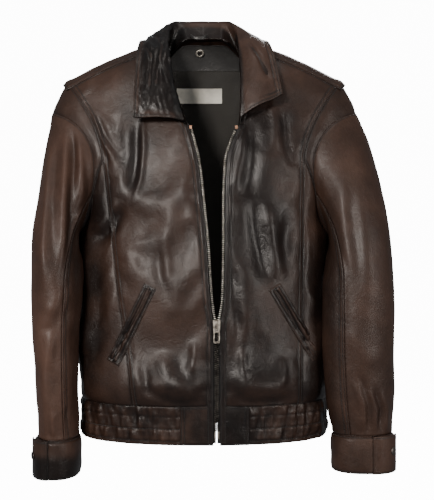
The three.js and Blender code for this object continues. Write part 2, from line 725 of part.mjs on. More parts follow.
function makeNeckDetails() {
  const ring = turned([[4, 0], [7, 0], [7, 1], [6.2, 1.6], [4.4, 1.6], [4, 1], [4, 0]], 20);
  add('lining_snap_ring', 'metal', place(ring, standInside(NECK_MIDDLE, 27, 6.9)));
  const socket = turned([[0, 0], [3.7, 0], [3.7, 1.1], [0, 1.1]], 14);
  add('lining_snap_socket', 'metal', place(socket, standInside(NECK_MIDDLE, 27, 6.9)));
  const LABEL = { x: -9, z: -46, width: 77, height: 25 };
  const label = (u, v) => bodyAt(
    LABEL.x + LABEL.width * (u - 0.5), LABEL.z + LABEL.height * (v - 0.5), true);
  add('label', 'label', sheet({
    at: label, nu: 4, nv: 1, low: -LINING_DEPTH - LINING - 1.1, high: -LINING_DEPTH - LINING - 0.6,
    inside: bodyMiddle,
  }));
}

// The hang loop is a flat strap sewn in at both ends of the back neck.
function makeHangLoop() {
  const half = 13;
  const width = 5;
  const strap = 1.6;
  const seat = new THREE.Vector3(NECK_MIDDLE, 10.6, 46);
  const path = new THREE.CatmullRomCurve3([
    new THREE.Vector3(-half, 0, 0),
    new THREE.Vector3(-half + 2, -6, -3),
    new THREE.Vector3(-half / 2, -10, -6),
    new THREE.Vector3(half / 2, -10, -6),
    new THREE.Vector3(half - 2, -6, -3),
    new THREE.Vector3(half, 0, 0),
  ].map((p) => p.add(seat)));
  const steps = 14;
  const points = [];
  const triangles = [];
  const up = new THREE.Vector3(0, 0, 1);
  for (let i = 0; i <= steps; i++) {
    const p = path.getPoint(i / steps);
    const along = path.getTangent(i / steps);
    const out = along.clone().cross(up).normalize().multiplyScalar(strap / 2);
    const rise = out.clone().cross(along).normalize().multiplyScalar(width / 2);
    for (const [a, b] of [[1, 1], [1, -1], [-1, -1], [-1, 1]]) {
      points.push(p.clone().addScaledVector(out, a).addScaledVector(rise, b));
    }
  }
  const quad = (a, b, c, d) => triangles.push([a, b, c], [a, c, d]);
  for (let i = 0; i < steps; i++) {
    for (let k = 0; k < 4; k++) {
      const l = (k + 1) % 4;
      quad(4 * i + k, 4 * i + 4 + k, 4 * i + 4 + l, 4 * i + l);
    }
  }
  quad(0, 1, 2, 3);
  quad(4 * steps + 3, 4 * steps + 2, 4 * steps + 1, 4 * steps);
  add('hang_loop', 'leather', solidGeometry(points, triangles));
}

// ---------------------------------------------------------------- collar

const COLLAR = 1.6; // thickness of the stand and of the upper collar
const UNDER_COLLAR = 1.2;
const SEAM_BACK = 0.4; // share of the neck seam behind the shoulders
const SEAM_FRONT = 0.58; // the share at which it starts down the front

// The neck seam on one side, from the back middle (0) to the front end (1), just inside the panels' edges.
function neckSeam(side, t) {
  let p;
  if (t < SEAM_BACK) {
    const x = (NECK_HALF * t) / SEAM_BACK;
    p = bodyAt(side * x, neckTop(x), true);
  } else if (t < SEAM_FRONT) {
    const turn = (t - SEAM_BACK) / (SEAM_FRONT - SEAM_BACK);
    p = arch(side * NECK_HALF, lerp(180 - STRAP_ANGLE, STRAP_ANGLE, turn));
  } else {
    const z = lerp(strapEdge(NECK_HALF), ZIP_TOP, (t - SEAM_FRONT) / (1 - SEAM_FRONT));
    p = bodyAt(frontEdge(side, z), z);
  }
  const inward = new THREE.Vector3(-p.x, -8 - p.y, 0).normalize();
  if (t > SEAM_FRONT) inward.set(-side, 0.15, 0);
  return p.addScaledVector(inward, COLLAR + SEAM_GAP + (t > SEAM_FRONT ? 0 : 6));
}

// The fold and the leaf's outer edge, each from the back middle to the front end.
const COLLAR_LINES = {
  right: {
    fold: [[-4, 41, 80], [-30, 38, 78], [-47, 26, 72], [-57, 6, 43], [-54, -34, 2], [-43, -58, -54], [-27, -71, -110]],
    edge: [[-4, 60, 18], [-46, 56, 20], [-84, 38, 27], [-102, 2, 31], [-107, -42, 0], [-108, -66, -58], [-109, -76, -104]],
  },
  left: {
    fold: [[-4, 41, 80], [22, 38, 78], [37, 26, 72], [53, 5, 42], [56, -42, -5], [57, -62, -54], [55, -71, -106]],
    edge: [[-4, 60, 18], [38, 56, 20], [78, 38, 27], [101, 2, 31], [110, -42, 5], [117, -62, -34], [123, -75, -68]],
  },
};

function makeCollar() {
  const curve = (points) => new THREE.CatmullRomCurve3(points.map((p) => new THREE.Vector3(...p)));
  const lines = ['right', 'left'].map((name) => ({
    fold: curve(COLLAR_LINES[name].fold),
    edge: curve(COLLAR_LINES[name].edge),
  }));
  const along = (u) => (u < 0.5 ? { side: -1, t: 1 - 2 * u, on: lines[0] } : { side: 1, t: 2 * u - 1, on: lines[1] });
  const middle = (p) => new THREE.Vector3(0, -10, p.z);
  const below = (p) => new THREE.Vector3(p.x * 0.3, p.y * 0.3, p.z - 60);
  const stand = (u, v) => {
    const { side, t, on } = along(u);
    return neckSeam(side, t).lerp(on.fold.getPoint(t), v * 0.98);
  };
  // The leaf rolls up over the fold before it falls to its edge.
  const leaf = (u, v) => {
    const { t, on } = along(u);
    const p = on.fold.getPoint(t).lerp(on.edge.getPoint(t), v);
    const lift = 8 * Math.sin(Math.PI * Math.min(v * 1.2, 1)) * (1 - 0.3 * t);
    const forward = clamp((t - 0.4) / 0.25, 0, 1);
    return p.add(new THREE.Vector3(0, -lift * forward, lift * (1 - 0.5 * forward)));
  };
  add('collar_stand', 'leather', sheet({
    at: stand, nu: 28, nv: 2, low: 0, high: COLLAR, inside: middle,
  }));
  add('under_collar', 'leather', sheet({
    at: leaf, nu: 28, nv: 4, low: COLLAR_ROLL, high: COLLAR_ROLL + UNDER_COLLAR, inside: below,
  }));
  const top = COLLAR_ROLL + UNDER_COLLAR + 0.4;
  add('collar_upper', 'leather', sheet({
    at: leaf, nu: 28, nv: 4, low: top, high: top + COLLAR, inside: below,
  }));
}

const COLLAR_ROLL = 1.8; // the leaf starts this far outside the fold

// ---------------------------------------------------------------- pockets

const POCKETS = {
  right: { x: -109, z: -423, lean: 26 },
  left: { x: 142, z: -421, lean: 31 },
};

function makePockets() {
  for (const side of [-1, 1]) {
    const name = side < 0 ? 'right' : 'left';
    const { x, z, lean } = POCKETS[name];
    const along = new THREE.Vector2(side * Math.sin(rad(lean)), -Math.cos(rad(lean)));
    const across = new THREE.Vector2(-along.y, along.x);
    const on = (a, b, low) => {
      const px = x + along.x * a + across.x * b;
      const pz = z + along.y * a + across.y * b + low;
      return bodyAt(px, pz);
    };
    const welt = (u, v) => on(WELT_LENGTH * (v - 0.5), WELT_WIDTH * (u - 0.5), 0);
    add('pocket_welt_' + name, 'leather', sheet({
      at: welt, nu: 2, nv: 8, low: LEATHER + WELT_GAP, high: 2 * LEATHER + WELT_GAP, inside: bodyMiddle,
    }));
    // The bag hangs behind the front panel, from the welt towards the zip.
    const bagWidth = 105;
    const bagHeight = 120;
    const bagX = side < 0 ? -88 : 98;
    const bag = (u, v) => bodyAt(bagX + bagWidth * (u - 0.5), z - 20 + bagHeight * (v - 0.5));
    add('pocket_bag_' + name, 'lining', sheet({
      at: bag, nu: 8, nv: 8, low: -2.9, high: -1.8, inside: bodyMiddle,
    }));
  }
}

// ---------------------------------------------------------------- zip

const CHAIN_LOW = HEM + 22;

function makeZipSides() {
  for (const side of [-1, 1]) {
    const name = side < 0 ? 'right' : 'left';
    const across = (from, to) => (u, v) => {
      const z = lerp(CHAIN_LOW, ZIP_TOP - 3, v);
      return bodyAt(chain(side, z) + side * lerp(from, to, u), z);
    };
    add('zip_chain_' + name, 'metal', sheet({
      at: across(CHAIN_GAP / 2, CHAIN_HALF), nu: 1, nv: 26,
      low: -CHAIN_THICK / 2, high: CHAIN_THICK / 2, inside: bodyMiddle,
    }));
    add('zip_tape_' + name, 'tape', sheet({
      at: across(CHAIN_HALF + 0.35, TAPE_WIDTH), nu: 2, nv: 26,
      low: -FIT_GAP - TAPE - 0.2, high: -FIT_GAP - 0.2, inside: bodyMiddle,
    }));
    const stop = new THREE.BoxGeometry(4, 4, 5);
    const at = bodyAt(chain(side, ZIP_TOP) + side * 2, ZIP_TOP);
    stop.translate(at.x, at.y, at.z + 0.4);
    add('zip_stop_' + name, 'metal', stop);
  }
}

// A box between two corners, as a manifold solid.
function block(low, high) {
  const size = new THREE.Vector3().subVectors(high, low);
  const middle = new THREE.Vector3().addVectors(low, high).multiplyScalar(0.5);
  return toSolid(new THREE.BoxGeometry(size.x, size.y, size.z).translate(middle.x, middle.y, middle.z));
}

function toSolid(geometry) {
  const bare = geometry.clone();
  bare.deleteAttribute('normal');
  bare.deleteAttribute('uv');
  const merged = mergeVertices(bare, 1e-4);
  return new wasm.Manifold(new wasm.Mesh({
    numProp: 3,
    vertProperties: new Float32Array(merged.attributes.position.array),
    triVerts: new Uint32Array(merged.index.array),
  }));
}

function toGeometry(solid) {
  const mesh = solid.getMesh();
  const geometry = new THREE.BufferGeometry();
  geometry.setAttribute('position', new THREE.BufferAttribute(mesh.vertProperties, 3));
  geometry.setIndex(new THREE.BufferAttribute(mesh.triVerts, 1));
  geometry.computeVertexNormals();
  return geometry;
}

const SLIDER = { width: 11, height: 16, plate: 1.8, clearance: 1.1, post: 0.5, middle: ZIP_JUNCTION };
const SLIDER_FRONT = ZIP_SURFACE + CHAIN_THICK / 2 + SLIDER.clearance + SLIDER.plate;
const BAIL = { width: 2.4, reach: 4.6, arm: 1.5, height: 12 };
const PULL = { width: 9.8, length: 30, thick: 1.4, bar: 1.8, frame: 1.9 };
const PULL_AXIS_Y = -(SLIDER_FRONT + (BAIL.reach - BAIL.arm) / 2);
const PULL_AXIS_Z = SLIDER.middle + BAIL.height / 2 - BAIL.arm - 1.9;

function makeSlider() {
  const v = (x, y, z) => new THREE.Vector3(x, y, z);
  const { width, height, plate, clearance, middle, post } = SLIDER;
  const back = ZIP_SURFACE - CHAIN_THICK / 2 - clearance - plate;
  const half = width / 2;
  const low = middle - height / 2;
  const high = middle + height / 2;
  const channel = CHAIN_THICK / 2 + clearance;
  const body = block(v(ZIP_X - half, -SLIDER_FRONT, low), v(ZIP_X + half, -back, high));
  const room = block(
    v(ZIP_X - half - 1, -ZIP_SURFACE - channel, low - 1),
    v(ZIP_X + half + 1, -ZIP_SURFACE + channel, high + 1));
  // The post holds the two plates together and stands between the chains.
  const divider = block(
    v(ZIP_X - post / 2, -ZIP_SURFACE - channel - 0.1, high - 4),
    v(ZIP_X + post / 2, -ZIP_SURFACE + channel + 0.1, high));
  const bailLow = middle - BAIL.height / 2;
  const bailHigh = middle + BAIL.height / 2;
  const front = -SLIDER_FRONT;
  const arch = block(
    v(ZIP_X - BAIL.width / 2, front - BAIL.reach, bailLow),
    v(ZIP_X + BAIL.width / 2, front + 0.2, bailHigh));
  const window = block(
    v(ZIP_X - BAIL.width, front - BAIL.reach + BAIL.arm, bailLow + BAIL.arm),
    v(ZIP_X + BAIL.width, front, bailHigh - BAIL.arm));
  const solid = body.subtract(room).add(divider).add(arch.subtract(window));
  add('zip_slider', 'metal', toGeometry(solid));
}

// The pull is a flat frame whose round top bar hangs in the slider's bail.
function makePull() {
  const { width, length, thick, bar, frame } = PULL;
  const half = width / 2;
  const outline = new THREE.Shape();
  outline.moveTo(-half, -bar);
  outline.lineTo(-half, -length + 2);
  outline.absarc(-half + 2, -length + 2, 2, Math.PI, 1.5 * Math.PI, false);
  outline.absarc(half - 2, -length + 2, 2, 1.5 * Math.PI, 2 * Math.PI, false);
  outline.lineTo(half, -bar);
  outline.lineTo(half - 1.5, bar / 2);
  outline.lineTo(-half + 1.5, bar / 2);
  outline.closePath();
  const slot = (wide, top, bottom) => {
    const hole = new THREE.Path();
    hole.moveTo(-wide, top);
    hole.lineTo(wide, top);
    hole.lineTo(wide, bottom);
    hole.lineTo(-wide, bottom);
    hole.closePath();
    return hole;
  };
  outline.holes.push(slot(2.5, -bar / 2, -11), slot(half - frame, -14, -length + frame + 1));
  const plate = new THREE.ExtrudeGeometry(outline, { depth: thick, bevelEnabled: false, curveSegments: 4 });
  plate.rotateX(Math.PI / 2);
  plate.translate(ZIP_X, PULL_AXIS_Y + thick / 2, PULL_AXIS_Z);
  add('zip_pull', 'metal', toGeometry(toSolid(plate)));
}

// Box and pin at the zip's foot: the box is fixed to the left chain, the pin to the right one.
function makeZipFoot() {
  const top = CHAIN_LOW - 0.4;
  const y = -ZIP_SURFACE;
  const pin = new THREE.BoxGeometry(2.2, 2.4, 14).translate(ZIP_X - 1.8, y, top - 7);
  add('zip_pin', 'metal', pin);
  const box = new THREE.BoxGeometry(3.6, 4.6, 11).translate(ZIP_X + 1.8 + 0.6, y, top - 5.5);
  add('zip_box', 'metal', box);
}

// ---------------------------------------------------------------- the whole jacket

makeFronts();
makeBack();
makeShoulderStraps();
makeWaistband();
makeLining();
makeFacings();
makeNeckDetails();
makeHangLoop();
makeCollar();
makePockets();
makeZipSides();
makeSlider();
makePull();
makeZipFoot();
for (const side of [-1, 1]) {
  makeArmholeBand(side);
  makeSleeve(side);
  makeCuff(side);
}

export default root;
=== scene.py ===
"""Looks of the leather riding jacket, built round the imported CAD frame.

Shapes are worked out in millimetres with the part's own driving dimensions, then written in metres.
+Z is up, the front faces -Y and the wearer's left is +X.
"""

import math

import bpy
import numpy as np
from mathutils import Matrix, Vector


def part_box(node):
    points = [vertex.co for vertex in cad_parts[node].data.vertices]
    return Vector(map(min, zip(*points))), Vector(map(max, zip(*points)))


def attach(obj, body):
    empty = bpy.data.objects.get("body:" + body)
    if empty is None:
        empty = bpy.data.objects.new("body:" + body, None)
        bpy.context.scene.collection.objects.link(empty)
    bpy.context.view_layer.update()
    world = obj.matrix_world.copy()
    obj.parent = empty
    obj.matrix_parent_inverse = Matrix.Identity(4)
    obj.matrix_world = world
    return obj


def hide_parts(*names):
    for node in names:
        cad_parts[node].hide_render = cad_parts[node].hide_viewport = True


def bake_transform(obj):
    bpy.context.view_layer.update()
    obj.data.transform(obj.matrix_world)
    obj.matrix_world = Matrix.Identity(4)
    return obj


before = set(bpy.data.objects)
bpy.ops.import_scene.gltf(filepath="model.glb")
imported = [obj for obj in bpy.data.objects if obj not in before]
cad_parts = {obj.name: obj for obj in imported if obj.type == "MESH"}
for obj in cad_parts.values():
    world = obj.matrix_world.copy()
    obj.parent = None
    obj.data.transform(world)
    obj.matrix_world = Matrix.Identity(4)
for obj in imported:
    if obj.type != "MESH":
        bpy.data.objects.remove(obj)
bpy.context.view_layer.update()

# ---------------------------------------------------------------- driving dimensions, as in the CAD source

LEATHER, LINING_DEPTH, LINING = 2.0, 6.6, 1.0
WAIST_TOP, HEM, ARMPIT, YOKE = -546.0, -606.0, -275.0, -112.0
ZIP_TOP, ZIP_JUNCTION, ZIP_X, ZIP_SURFACE = -117.0, -422.0, 20.5, 93.0
PLACKET, FACING_WIDTH = 7.0, 58.0
SHOULDER_ROUND, STRAP_ANGLE, NECK_HALF, NECK_RISE = 60.0, 45.0, 68.0, 42.0
OUTLINE_POWER = 2.2
NECK_MIDDLE = -9.0
CUFF_LEATHER, CUFF_HEIGHT, TAB_GAP = 2.4, 58, 0.6
COLLAR_ROWS = (3.0, 8.5)
TOOTH_PITCH, CHAIN_START, CHAIN_END = 3.0, 22.8, 3.2
WELT_WIDTH, WELT_LENGTH = 21, 133
# The middle (x, z) of each pocket opening and how far it leans, in degrees.
POCKETS = {-1: (-109, -423, 26), 1: (142, -421, 31)}
NAMES = {-1: "right", 1: "left"}


# ---------------------------------------------------------------- small tools

def lerp(a, b, t):
    return a + (b - a) * t


def ease(t):
    t = np.clip(t, 0, 1)
    return t * t * (3 - 2 * t)


def spow(x, p):
    return np.sign(x) * np.abs(x) ** p


def vec(x, y, z):
    return np.stack(np.broadcast_arrays(x, y, z), -1).astype(float)


def unit(a):
    return a / np.maximum(np.linalg.norm(a, axis=-1, keepdims=True), 1e-9)


def profile(points):
    """Monotone cubic curve through (position, value) pairs, flat past its ends."""
    xs, ys = np.array(points, float).T
    secant = np.diff(ys) / np.diff(xs)
    a, b = secant[:-1], secant[1:]
    inner = np.where(a * b > 0, 2 * a * b / np.where(a * b > 0, a + b, 1), 0)
    slope = np.concatenate([[secant[0]], inner, [secant[-1]]])

    def at(t):
        t = np.clip(np.asarray(t, float), xs[0], xs[-1])
        i = np.clip(np.searchsorted(xs, t, side="right") - 1, 0, len(xs) - 2)
        span = xs[i + 1] - xs[i]
        s = (t - xs[i]) / span
        h = s * s * (3 - 2 * s)
        bend = (s**3 - 2 * s * s + s) * slope[i] + (s**3 - s * s) * slope[i + 1]
        return lerp(ys[i], ys[i + 1], h) + bend * span

    return at


def solve(fn, target, low, high):
    """Where a rising or falling function reaches a target."""
    target = np.asarray(target, float)
    low, high = np.full(target.shape, float(low)), np.full(target.shape, float(high))
    rising = fn(high) > fn(low)
    for _ in range(26):
        mid = (low + high) / 2
        up = (fn(mid) < target) == rising
        low, high = np.where(up, mid, low), np.where(up, high, mid)
    return (low + high) / 2


def noise(p, scale, seed=0):
    """Smooth value noise from -1 to 1; scale is the cell's size in mm, one number or three."""
    q = np.asarray(p, float) / scale
    cell = np.floor(q).astype(np.int64)
    f = ease(q - cell)
    total = 0
    for corner in range(8):
        step = np.array([corner & 1, corner >> 1 & 1, corner >> 2])
        c = cell + step
        n = c[..., 0] * 374761393 + c[..., 1] * 668265263 + c[..., 2] * 1274126177
        n = (n + seed * 974634777) & 0xFFFFFFFF
        n = ((n ^ (n >> 13)) * 1103515245) & 0xFFFFFFFF
        value = ((n ^ (n >> 16)) & 0xFFFF) / 32767.5 - 1
        total = total + value * np.prod(np.where(step, f, 1 - f), -1)
    return total


def stroke(x, z, points, width, height):
    """A fold along a line of (x, z) points that fades at both ends."""
    points = np.array(points, float)
    step = np.diff(points, axis=0)
    length = np.hypot(*step.T)
    start = np.concatenate([[0], np.cumsum(length)])
    best, along = np.full(np.shape(x), 1e9), np.zeros(np.shape(x))
    for k in range(len(step)):
        x0, z0, dx, dz = *points[k], *step[k]
        t = np.clip(((x - x0) * dx + (z - z0) * dz) / length[k] ** 2, 0, 1)
        d = np.hypot(x - x0 - t * dx, z - z0 - t * dz)
        along = np.where(d < best, start[k] + t * length[k], along)
        best = np.minimum(d, best)
    share = along / start[-1]
    fade = ease(np.minimum(share, 1 - share) * 3.5)
    return height * fade * np.exp(-((best / width) ** 2))


# ---------------------------------------------------------------- the body's surface

half_width = profile([(HEM, 197), (WAIST_TOP, 198), (-505, 200), (-400, 191), (ARMPIT, 186), (-210, 199),
                      (-120, 232), (-37, 258), (40, 262)])
front_depth = profile([(HEM, ZIP_SURFACE), (-395, ZIP_SURFACE), (ARMPIT, 84), (-150, 70), (-60, 53),
                       (40, 42)])
back_depth = profile([(HEM, 68), (WAIST_TOP, 70), (-510, 80), (-400, 74), (ARMPIT, 72), (-150, 68), (-60, 58),
                      (40, 52)])


def shoulder_line(x):
    past = np.abs(x) - 75
    return 28 - 0.3 * past - np.where(past > 0, 0.0009 * past * past, 0)


def body(angle, z):
    s, c = np.sin(np.radians(angle)), np.cos(np.radians(angle))
    c = np.where(np.abs(c) < 1e-9, 0, c)
    x = half_width(z) * spow(s, 2 / OUTLINE_POWER)
    closing = np.clip((shoulder_line(x) - z) / SHOULDER_ROUND, 0, 1)
    full = 12 * np.exp(-(((z - WAIST_TOP - 34) / 38) ** 2)) * (1 - np.exp(-(((x - ZIP_X) / 50) ** 2)))
    depth = np.where(c > 0, front_depth(z), back_depth(z))
    curve = np.sqrt(1 - (1 - closing) ** 2)
    return vec(x, -depth * spow(c, 2 / OUTLINE_POWER) * curve - np.where(c > 0, full * c, 0), z)


def angle_of(x, z, back=False):
    share = np.clip(np.abs(x) / half_width(z), 0, 1) ** (OUTLINE_POWER / 2)
    front = np.sign(x) * np.degrees(np.arcsin(share))
    return np.where(back, np.where(x < 0, -180, 180) - front, front)


def body_at(x, z, back=False):
    return body(angle_of(x, z, back), z)


def arch(x, angle):
    z = shoulder_line(x) - SHOULDER_ROUND * (1 - np.sin(np.radians(angle)))
    p = body_at(x, z, angle > 90)
    p[..., 1] = np.where(np.abs(angle - 90) < 0.01, 0, p[..., 1])
    return p


def strap_edge(x):
    return shoulder_line(x) - SHOULDER_ROUND * (1 - math.sin(math.radians(STRAP_ANGLE)))


neck_top = profile([(0, NECK_RISE), (34, NECK_RISE - 3), (NECK_HALF, float(strap_edge(NECK_HALF)))])


def yoke_top(x):
    return np.where(np.abs(x) < NECK_HALF, neck_top(np.abs(x)), strap_edge(x))


def body_middle(p):
    return vec(p[..., 0] * 0.55, 0 * p[..., 1], np.minimum(p[..., 2], -60))


# ---------------------------------------------------------------- seams and edges

chains = {
    -1: profile([(HEM, ZIP_X), (ZIP_JUNCTION - 6, ZIP_X), (-384, 15), (-308, 10), (-231, 2.5), (-168, -5),
                 (ZIP_TOP, -18)]),
    1: profile([(HEM, ZIP_X), (ZIP_JUNCTION - 6, ZIP_X), (-384, 27), (-308, 28.7), (-231, 29), (-168, 32),
                (ZIP_TOP, 49)]),
}


def front_edge(side, z):
    end = chains[side](ZIP_TOP) + side * PLACKET
    t = np.clip((z - ZIP_TOP) / (strap_edge(NECK_HALF) - ZIP_TOP), 0, 1)
    line = lerp(end, side * NECK_HALF, np.sin(t * math.pi / 2) ** 0.9)
    return np.where(z < ZIP_TOP, chains[side](z) + side * PLACKET, line)


ARMHOLE_X = 222.0
ARMHOLE_TOP = float(shoulder_line(ARMHOLE_X))
CORNER = 90.0


def armhole_height(angle):
    c = np.cos(np.radians(angle))
    return (ARMHOLE_TOP + ARMPIT) / 2 + (ARMHOLE_TOP - ARMPIT) / 2 * c - 10 * (1 - c * c)


def armhole_x(angle):
    s = np.sin(np.radians(angle))
    return ARMHOLE_X - 12 * (1 - np.cos(np.radians(angle))) - 52 * s * s


def armhole_x_at(z):
    return armhole_x(solve(armhole_height, z, 0, CORNER))


CORNER_Z, CORNER_X = float(armhole_height(CORNER)), float(armhole_x(CORNER))
princess = {
    -1: profile([(WAIST_TOP, -108), (-480, -116), (-390, -130), (-250, -148), (CORNER_Z, -CORNER_X)]),
    1: profile([(WAIST_TOP, 152), (-390, 154), (CORNER_Z, CORNER_X)]),
}
princess_back = profile([(WAIST_TOP, 128), (-350, 140), (CORNER_Z, CORNER_X)])


def front_seam(side, z):
    return np.where(z > CORNER_Z, side * armhole_x_at(z), princess[side](z))


def back_seam(side, z):
    return side * np.where(z > CORNER_Z, armhole_x_at(z), princess_back(z))


def armhole(side, angle):
    angle = np.asarray(angle, float)
    back = angle > 180
    turned = np.where(back, 360 - angle, angle)
    z = armhole_height(turned)
    upper = body_at(side * armhole_x(np.minimum(turned, CORNER)), z, back)
    upper[..., 1] = np.where(turned < 0.01, 0, upper[..., 1])
    share = (turned - CORNER) / (180 - CORNER)
    edge = np.where(back, back_seam(side, z), front_seam(side, z))
    around = np.abs(angle_of(edge, z, False))
    lower = body(side * lerp(np.where(back, 180 - around, around), 90, share), z)
    return np.where((turned <= CORNER)[..., None], upper, lower)


STRAP_CORNER = float(solve(lambda a: armhole_height(a) - strap_edge(armhole_x(a)), 0.0, 0, 60))


def edge_height(v):
    upper = armhole_height(lerp(CORNER, STRAP_CORNER, (v - 0.6) / 0.4))
    return np.where(v < 0.6, lerp(WAIST_TOP, CORNER_Z, v / 0.6), upper)


def top_height(inner, outer, top, u):
    z = top(lerp(inner(-30.0), outer(-30.0), u))
    for _ in range(7):
        z = top(lerp(inner(z), outer(z), u))
    return z


def front_panel(side):
    def at(u, v):
        inner, outer = (lambda z: front_edge(side, z)), (lambda z: front_seam(side, z))
        top = top_height(inner, outer, strap_edge, u)
        z = lerp(WAIST_TOP, top, (edge_height(v) - WAIST_TOP) / (edge_height(np.array(1.0)) - WAIST_TOP))
        return body_at(lerp(inner(z), outer(z), u), z)
    return at


def side_panel(side, back):
    seam = back_seam if back else front_seam

    def at(u, v):
        z = lerp(WAIST_TOP, armhole_height(lerp(CORNER, 180, u)), v)
        start = np.abs(angle_of(seam(side, z), z, back))
        return body(side * lerp(start, 90, u), z)
    return at


def back_centre(u, v):
    z = lerp(WAIST_TOP, YOKE, v)
    return body_at(lerp(back_seam(-1, z), back_seam(1, z), u), z, True)


def back_yoke(u, v):
    inner, outer = (lambda z: back_seam(-1, z)), (lambda z: back_seam(1, z))
    z = lerp(YOKE, top_height(inner, outer, yoke_top, u), 1 - (1 - v) ** 1.6)
    return body_at(lerp(inner(z), outer(z), u), z, True)


def strap(side):
    def at(u, v):
        angle = lerp(STRAP_ANGLE, 180 - STRAP_ANGLE, v)
        drop = SHOULDER_ROUND * (1 - np.sin(np.radians(angle)))
        end = solve(lambda a: armhole_height(a) - shoulder_line(armhole_x(a)) + drop, 0 * drop, 0,
                    STRAP_CORNER + 5)
        return arch(side * lerp(NECK_HALF, armhole_x(end), u), angle)
    return at


# ---------------------------------------------------------------- sleeves and cuffs

STATIONS = (0, 0.12, 0.25, 0.45, 0.65, 0.85, 1)
SLEEVES = {
    1: dict(outer=(247, 268, 282, 293.5, 298, 298, 294), inner=(207, 202, 195, 188, 187, 192, 203),
            depth=(48, 50, 48, 43, 40, 37, 33), cuff=(297, 203, 34, -593, -651)),
    -1: dict(outer=(247, 255, 261, 268, 266, 261, 258), inner=(207, 202, 195, 192, 197, 198, 197),
             depth=(48, 50, 52, 51, 48, 46, 42), cuff=(262, 196, 43, -598, -658)),
}
for shape in SLEEVES.values():
    for key in ("outer", "inner", "depth"):
        shape[key] = profile(list(zip(STATIONS, shape[key])))
outer_fall = profile(list(zip(STATIONS, (0, 0.107, 0.235, 0.423, 0.63, 0.848, 1))))
inner_fall = profile(list(zip(STATIONS, (0, 0.046, 0.122, 0.276, 0.516, 0.796, 1))))
sleeve_y = profile(list(zip(STATIONS, (0, -14, -33, -53, -59, -58, -54))))
sleeve_reach = profile([(0, 51.5), (0.12, 32), (0.25, 12), (0.45, 0), (1, 0)])


def sleeve_middle(side, v):
    shape = SLEEVES[side]
    end = shape["cuff"][3] + 0.3
    outer_z, inner_z = lerp(ARMHOLE_TOP - 50, end, outer_fall(v)), lerp(ARMPIT - 13, end, inner_fall(v))
    middle = vec(side * (shape["outer"](v) + shape["inner"](v)) / 2, sleeve_y(v), (outer_z + inner_z) / 2)
    return middle, (shape["outer"](v) - shape["inner"](v)) / 2, (outer_z - inner_z) / 2


def sleeve(side, angle, v):
    s, c = np.sin(np.radians(angle)), np.cos(np.radians(angle))
    middle, half, half_z = sleeve_middle(side, v)
    reach = sleeve_reach(v) * s * s
    return middle + vec(side * (half * c - reach), -SLEEVES[side]["depth"](v) * s, half_z * c + reach * 0.6)


def cuff(side, angle, v):
    outer, inner, depth, top, bottom = SLEEVES[side]["cuff"]
    x = (outer + inner) / 2 + (outer - inner) / 2 * spow(np.cos(np.radians(angle)), 0.9)
    y = sleeve_y(1) - depth * spow(np.sin(np.radians(angle)), 0.9)
    return vec(side * x, y, lerp(top, bottom, v))


# ---------------------------------------------------------------- collar

def through(points):
    """Centripetal Catmull-Rom curve with its share running evenly over the points."""
    points = np.array(points, float)
    ends = np.vstack([2 * points[0] - points[1], points, 2 * points[-1] - points[-2]])

    def at(t):
        t = np.asarray(t, float) * (len(points) - 1)
        i = np.clip(np.floor(t).astype(int), 0, len(points) - 2)
        w = (t - i)[..., None]
        p0, p1, p2, p3 = (ends[i + k] for k in range(4))
        d0, d1, d2 = (np.maximum(np.linalg.norm(b - a, axis=-1, keepdims=True), 1e-6) ** 0.5
                      for a, b in ((p0, p1), (p1, p2), (p2, p3)))
        t1 = ((p1 - p0) / d0 - (p2 - p0) / (d0 + d1) + (p2 - p1) / d1) * d1
        t2 = ((p2 - p1) / d1 - (p3 - p1) / (d1 + d2) + (p3 - p2) / d2) * d1
        return p1 + w * (t1 + w * (-3 * p1 + 3 * p2 - 2 * t1 - t2 + w * (2 * p1 - 2 * p2 + t1 + t2)))
    return at


COLLAR = {
    -1: (through([(-4, 41, 80), (-30, 38, 78), (-47, 26, 72), (-57, 6, 43), (-54, -34, 2), (-43, -58, -54),
                  (-27, -71, -110)]),
         through([(-4, 60, 18), (-46, 56, 20), (-84, 38, 27), (-102, 2, 31), (-107, -42, 0), (-108, -66, -58),
                  (-109, -76, -104)])),
    1: (through([(-4, 41, 80), (22, 38, 78), (37, 26, 72), (53, 5, 42), (56, -42, -5), (57, -62, -54),
                 (55, -71, -106)]),
        through([(-4, 60, 18), (38, 56, 20), (78, 38, 27), (101, 2, 31), (110, -42, 5), (117, -62, -34),
                 (123, -75, -68)])),
}


def neck_seam(side, t, clear=6.0):
    x = NECK_HALF * t / 0.4
    behind = body_at(side * np.minimum(x, NECK_HALF), neck_top(np.minimum(x, NECK_HALF)), True)
    turn = np.clip((t - 0.4) / 0.18, 0, 1)
    over = arch(side * NECK_HALF + 0 * t, lerp(180 - STRAP_ANGLE, STRAP_ANGLE, turn))
    z = lerp(strap_edge(NECK_HALF), ZIP_TOP, np.clip((t - 0.58) / 0.42, 0, 1))
    down = body_at(front_edge(side, z), z)
    p = np.where((t < 0.4)[..., None], behind, np.where((t < 0.58)[..., None], over, down))
    inward = unit(vec(-p[..., 0], -8 - p[..., 1], 0 * t))
    inward = np.where((t > 0.58)[..., None], np.array([-side, 0.15, 0.0]), inward)
    return p + inward * (2.2 + np.where(t > 0.58, 0, clear))[..., None]


def collar_parts(u):
    """side and share from the back middle of each column; u runs from one front end to the other."""
    return np.where(u < 0.5, -1, 1), np.abs(2 * u - 1)


def both(fn, u):
    t = np.abs(2 * u - 1)
    return np.where((u < 0.5)[..., None], fn(-1, t), fn(1, t))


def collar_fold(u):
    return both(lambda side, t: COLLAR[side][0](t), u)


